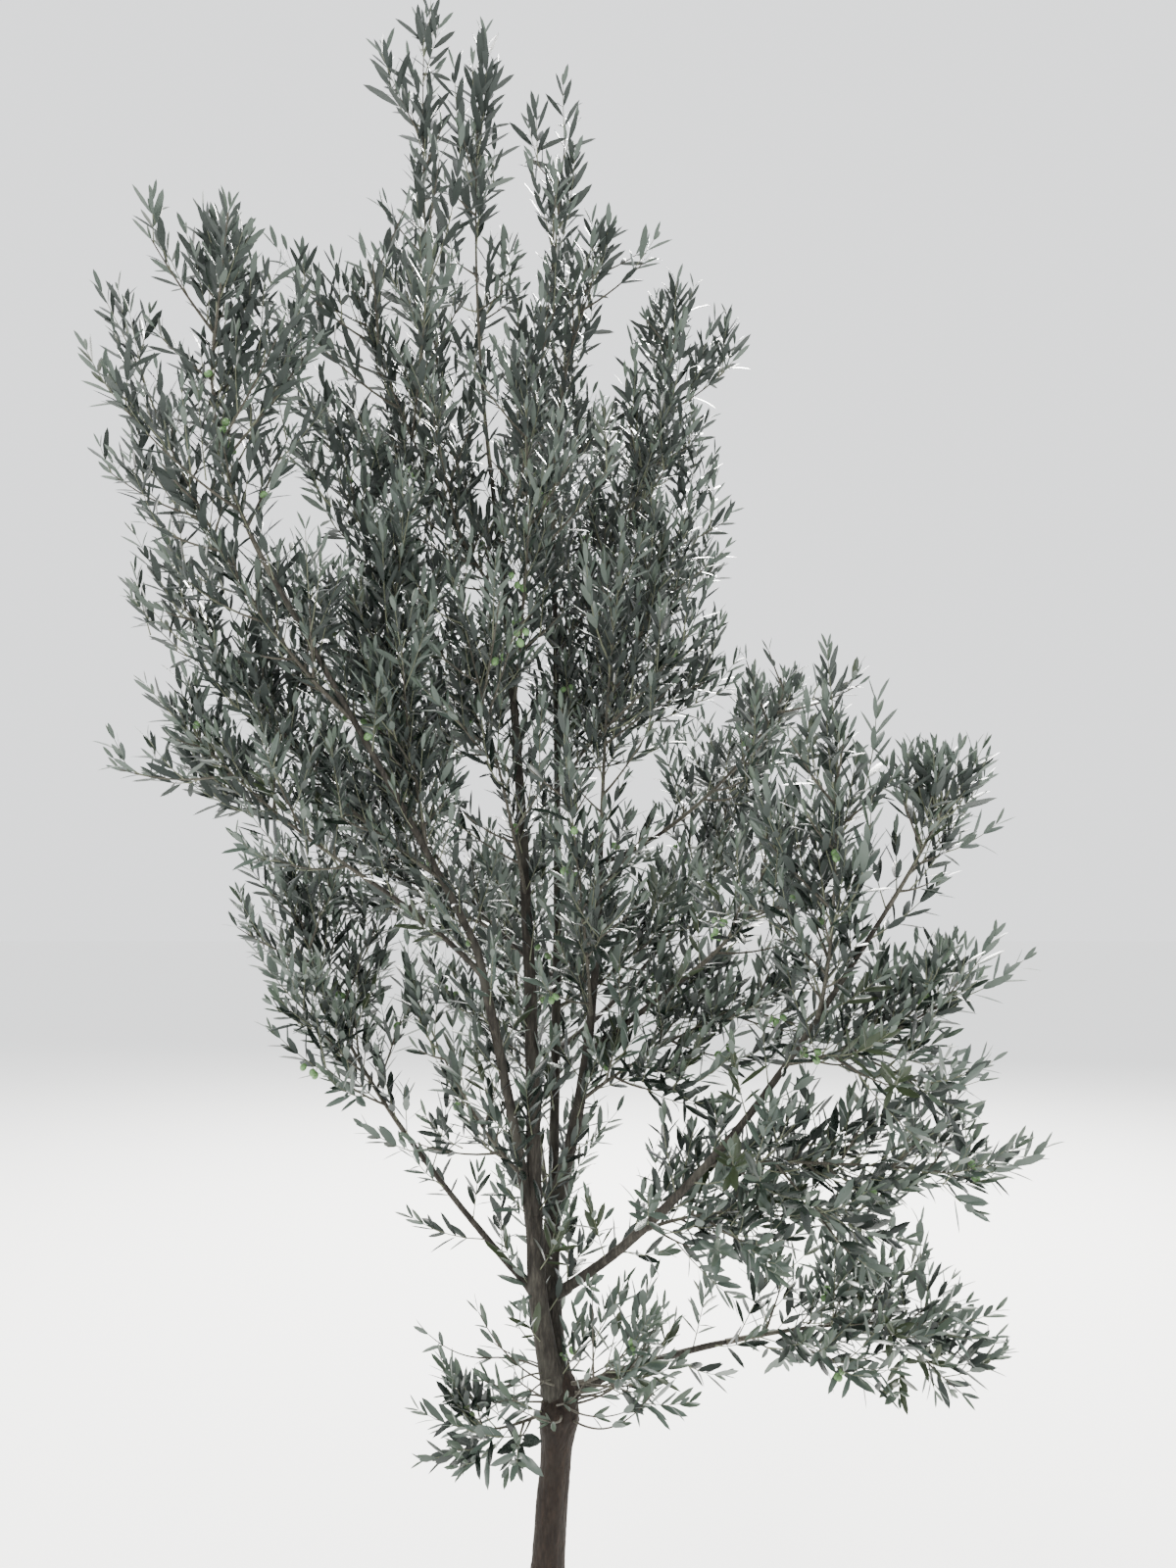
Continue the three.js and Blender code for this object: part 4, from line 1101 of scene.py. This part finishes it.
def skin_material(name, look, skin):
    """A leaf's material, or an olive's."""
    made = Nodes(name)
    colour, roughness, sheen, gloss = look
    mottle = made.noise(skin["mottle"], detail=2.0)
    relief = made.noise(skin["relief"], detail=2.0)
    return made.shade(
        Base_Color=(*colour, 1.0),
        Specular_IOR_Level=gloss,
        Sheen_Weight=sheen,
        Roughness=made.spread(mottle, *roughness),
        Normal=made.bump(relief, skin["strength"], skin["distance"]),
    )


def bark_material(name, look):
    made = Nodes(name)
    dark, middle, light, grey, streak, depth = look
    streaks = made.noise(scale=streak, **BARK_NOISE["streaks"])
    patches, fibres, specks = (made.noise(**BARK_NOISE[key]) for key in ("patches", "fibres", "specks"))
    colour = made.ramp(streaks, BARK_STOPS["streaks"], dark, middle, light)
    pale = made.ramp(specks, BARK_STOPS["specks"], grey, light)
    lichen = made.ramp(patches, BARK_STOPS["patches"], BLACK, WHITE)
    coarse = made.bump(streaks, BARK_BUMPS["streaks"], depth)
    fine_depth = depth * BARK_BUMPS["fibre_depth"]
    return made.shade(
        Base_Color=made.mix(made.spread(lichen, 0.0, BARK_SKIN["most_lichen"]), colour, pale),
        Roughness=made.spread(streaks, *BARK_SKIN["rough"]),
        Specular_IOR_Level=BARK_SKIN["gloss"],
        Normal=made.bump(fibres, BARK_BUMPS["fibres"], fine_depth, Normal=coarse),
    )


def settle(piece, nodes):
    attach(piece, "root")
    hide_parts(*nodes)


def build_foliage(axes, leaves_look, twigs_look, rng):
    for group, members in GROUPS.items():
        nodes = ["foliage_" + member for member in members]
        blades = blade_mesh(leaf_frames(axes.select(members), rng), rng)
        settle(make_mesh("leaves_" + group, *blades, leaves_look), nodes)
        parts = []
        for kind, (_, _, rings, sides, number) in KINDS.items():
            some = axes.select(members, kind)
            if some:
                parts.append((*bars(some.curve, some.radii, rings, sides, BAR_FOOT["swell"]), number))
        settle(make_mesh("twigs_" + group, *joined(parts), twigs_look), nodes)


def build_wood(limbs, trunk_look, bough_look):
    trunk = joined([(*trunk_tube(limbs["trunk"]), 0)])
    settle(make_mesh("trunk_bark", *trunk, [trunk_look]), ["trunk"])
    stems = [name for name in LIMBS if name.endswith("stem")]
    boughs = [name for name in LIMBS if name.startswith("bough")]
    for piece_name, names in (("stems_bark", stems), ("boughs_bark", boughs)):
        made = joined([(*limb_tube(name, limbs), 0) for name in names])
        settle(make_mesh(piece_name, *made, [bough_look]), names)


def build_tree():
    rng = np.random.default_rng(SEED)
    limbs = make_limbs()
    axes = Crown(limbs, rng).axes
    leaves = [skin_material(name, look, LEAF_GRAIN) for name, look in LEAF_LOOKS.items()]
    trunk, bough, twig, shoot = (bark_material(name, look) for name, look in BARK_LOOKS.items())
    build_foliage(axes, leaves, [twig, shoot], rng)
    build_wood(limbs, trunk, bough)
    skin = skin_material("olive_skin", OLIVE_LOOK, OLIVE_GRAIN)
    piece = make_mesh("olives", *olive_mesh(axes, rng), [skin, shoot])
    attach(piece, "root")


# Floor, light and camera
FLOOR = {"size": 300.0, "colour": (0.95, 0.95, 0.94), "roughness": 0.95}
SKY = {"colour": (0.97, 0.985, 1.0), "strength": 1.8}
LIGHTS = (
    ("key", (-4.5, -4.0, 7.5), 2.0, 500.0, (1.0, 0.98, 0.94)),
    ("rim", (1.2, 5.5, 7.5), 2.6, 3300.0, (1.0, 0.98, 0.94)),
    ("fill", (5.5, -4.5, 3.0), 5.0, 60.0, (0.94, 0.97, 1.0)),
)
AIM = Vector((0.0, 0.0, 2.1))
CAMERA = {"place": (0.100, -2.80, 1.60), "pitch": 97.0, "lens": 27.045, "sensor": 36.0}


def make_floor():
    bpy.ops.mesh.primitive_plane_add(size=FLOOR["size"])
    floor = bpy.context.object
    floor.name = "floor"
    paint = Nodes("floor_paint").shade(Base_Color=(*FLOOR["colour"], 1.0), Roughness=FLOOR["roughness"])
    floor.data.materials.append(paint)


def make_light():
    world = bpy.data.worlds.new("studio")
    bpy.context.scene.world = world
    world.use_nodes = True
    background = world.node_tree.nodes["Background"]
    background.inputs["Color"].default_value = (*SKY["colour"], 1.0)
    background.inputs["Strength"].default_value = SKY["strength"]
    for name, place, size, power, colour in LIGHTS:
        data = bpy.data.lights.new(name, "AREA")
        data.size = size
        data.energy = power
        data.color = colour
        lamp = add_object(name, data)
        lamp.location = place
        lamp.rotation_euler = (AIM - Vector(place)).to_track_quat("-Z", "Y").to_euler()


def make_camera():
    data = bpy.data.cameras.new("camera")
    data.lens = CAMERA["lens"]
    data.sensor_width = CAMERA["sensor"]
    camera = add_object("camera", data)
    camera.location = CAMERA["place"]
    camera.rotation_euler = (math.radians(CAMERA["pitch"]), 0.0, 0.0)
    bpy.context.scene.camera = camera


make_camera()
build_tree()
make_floor()
make_light()
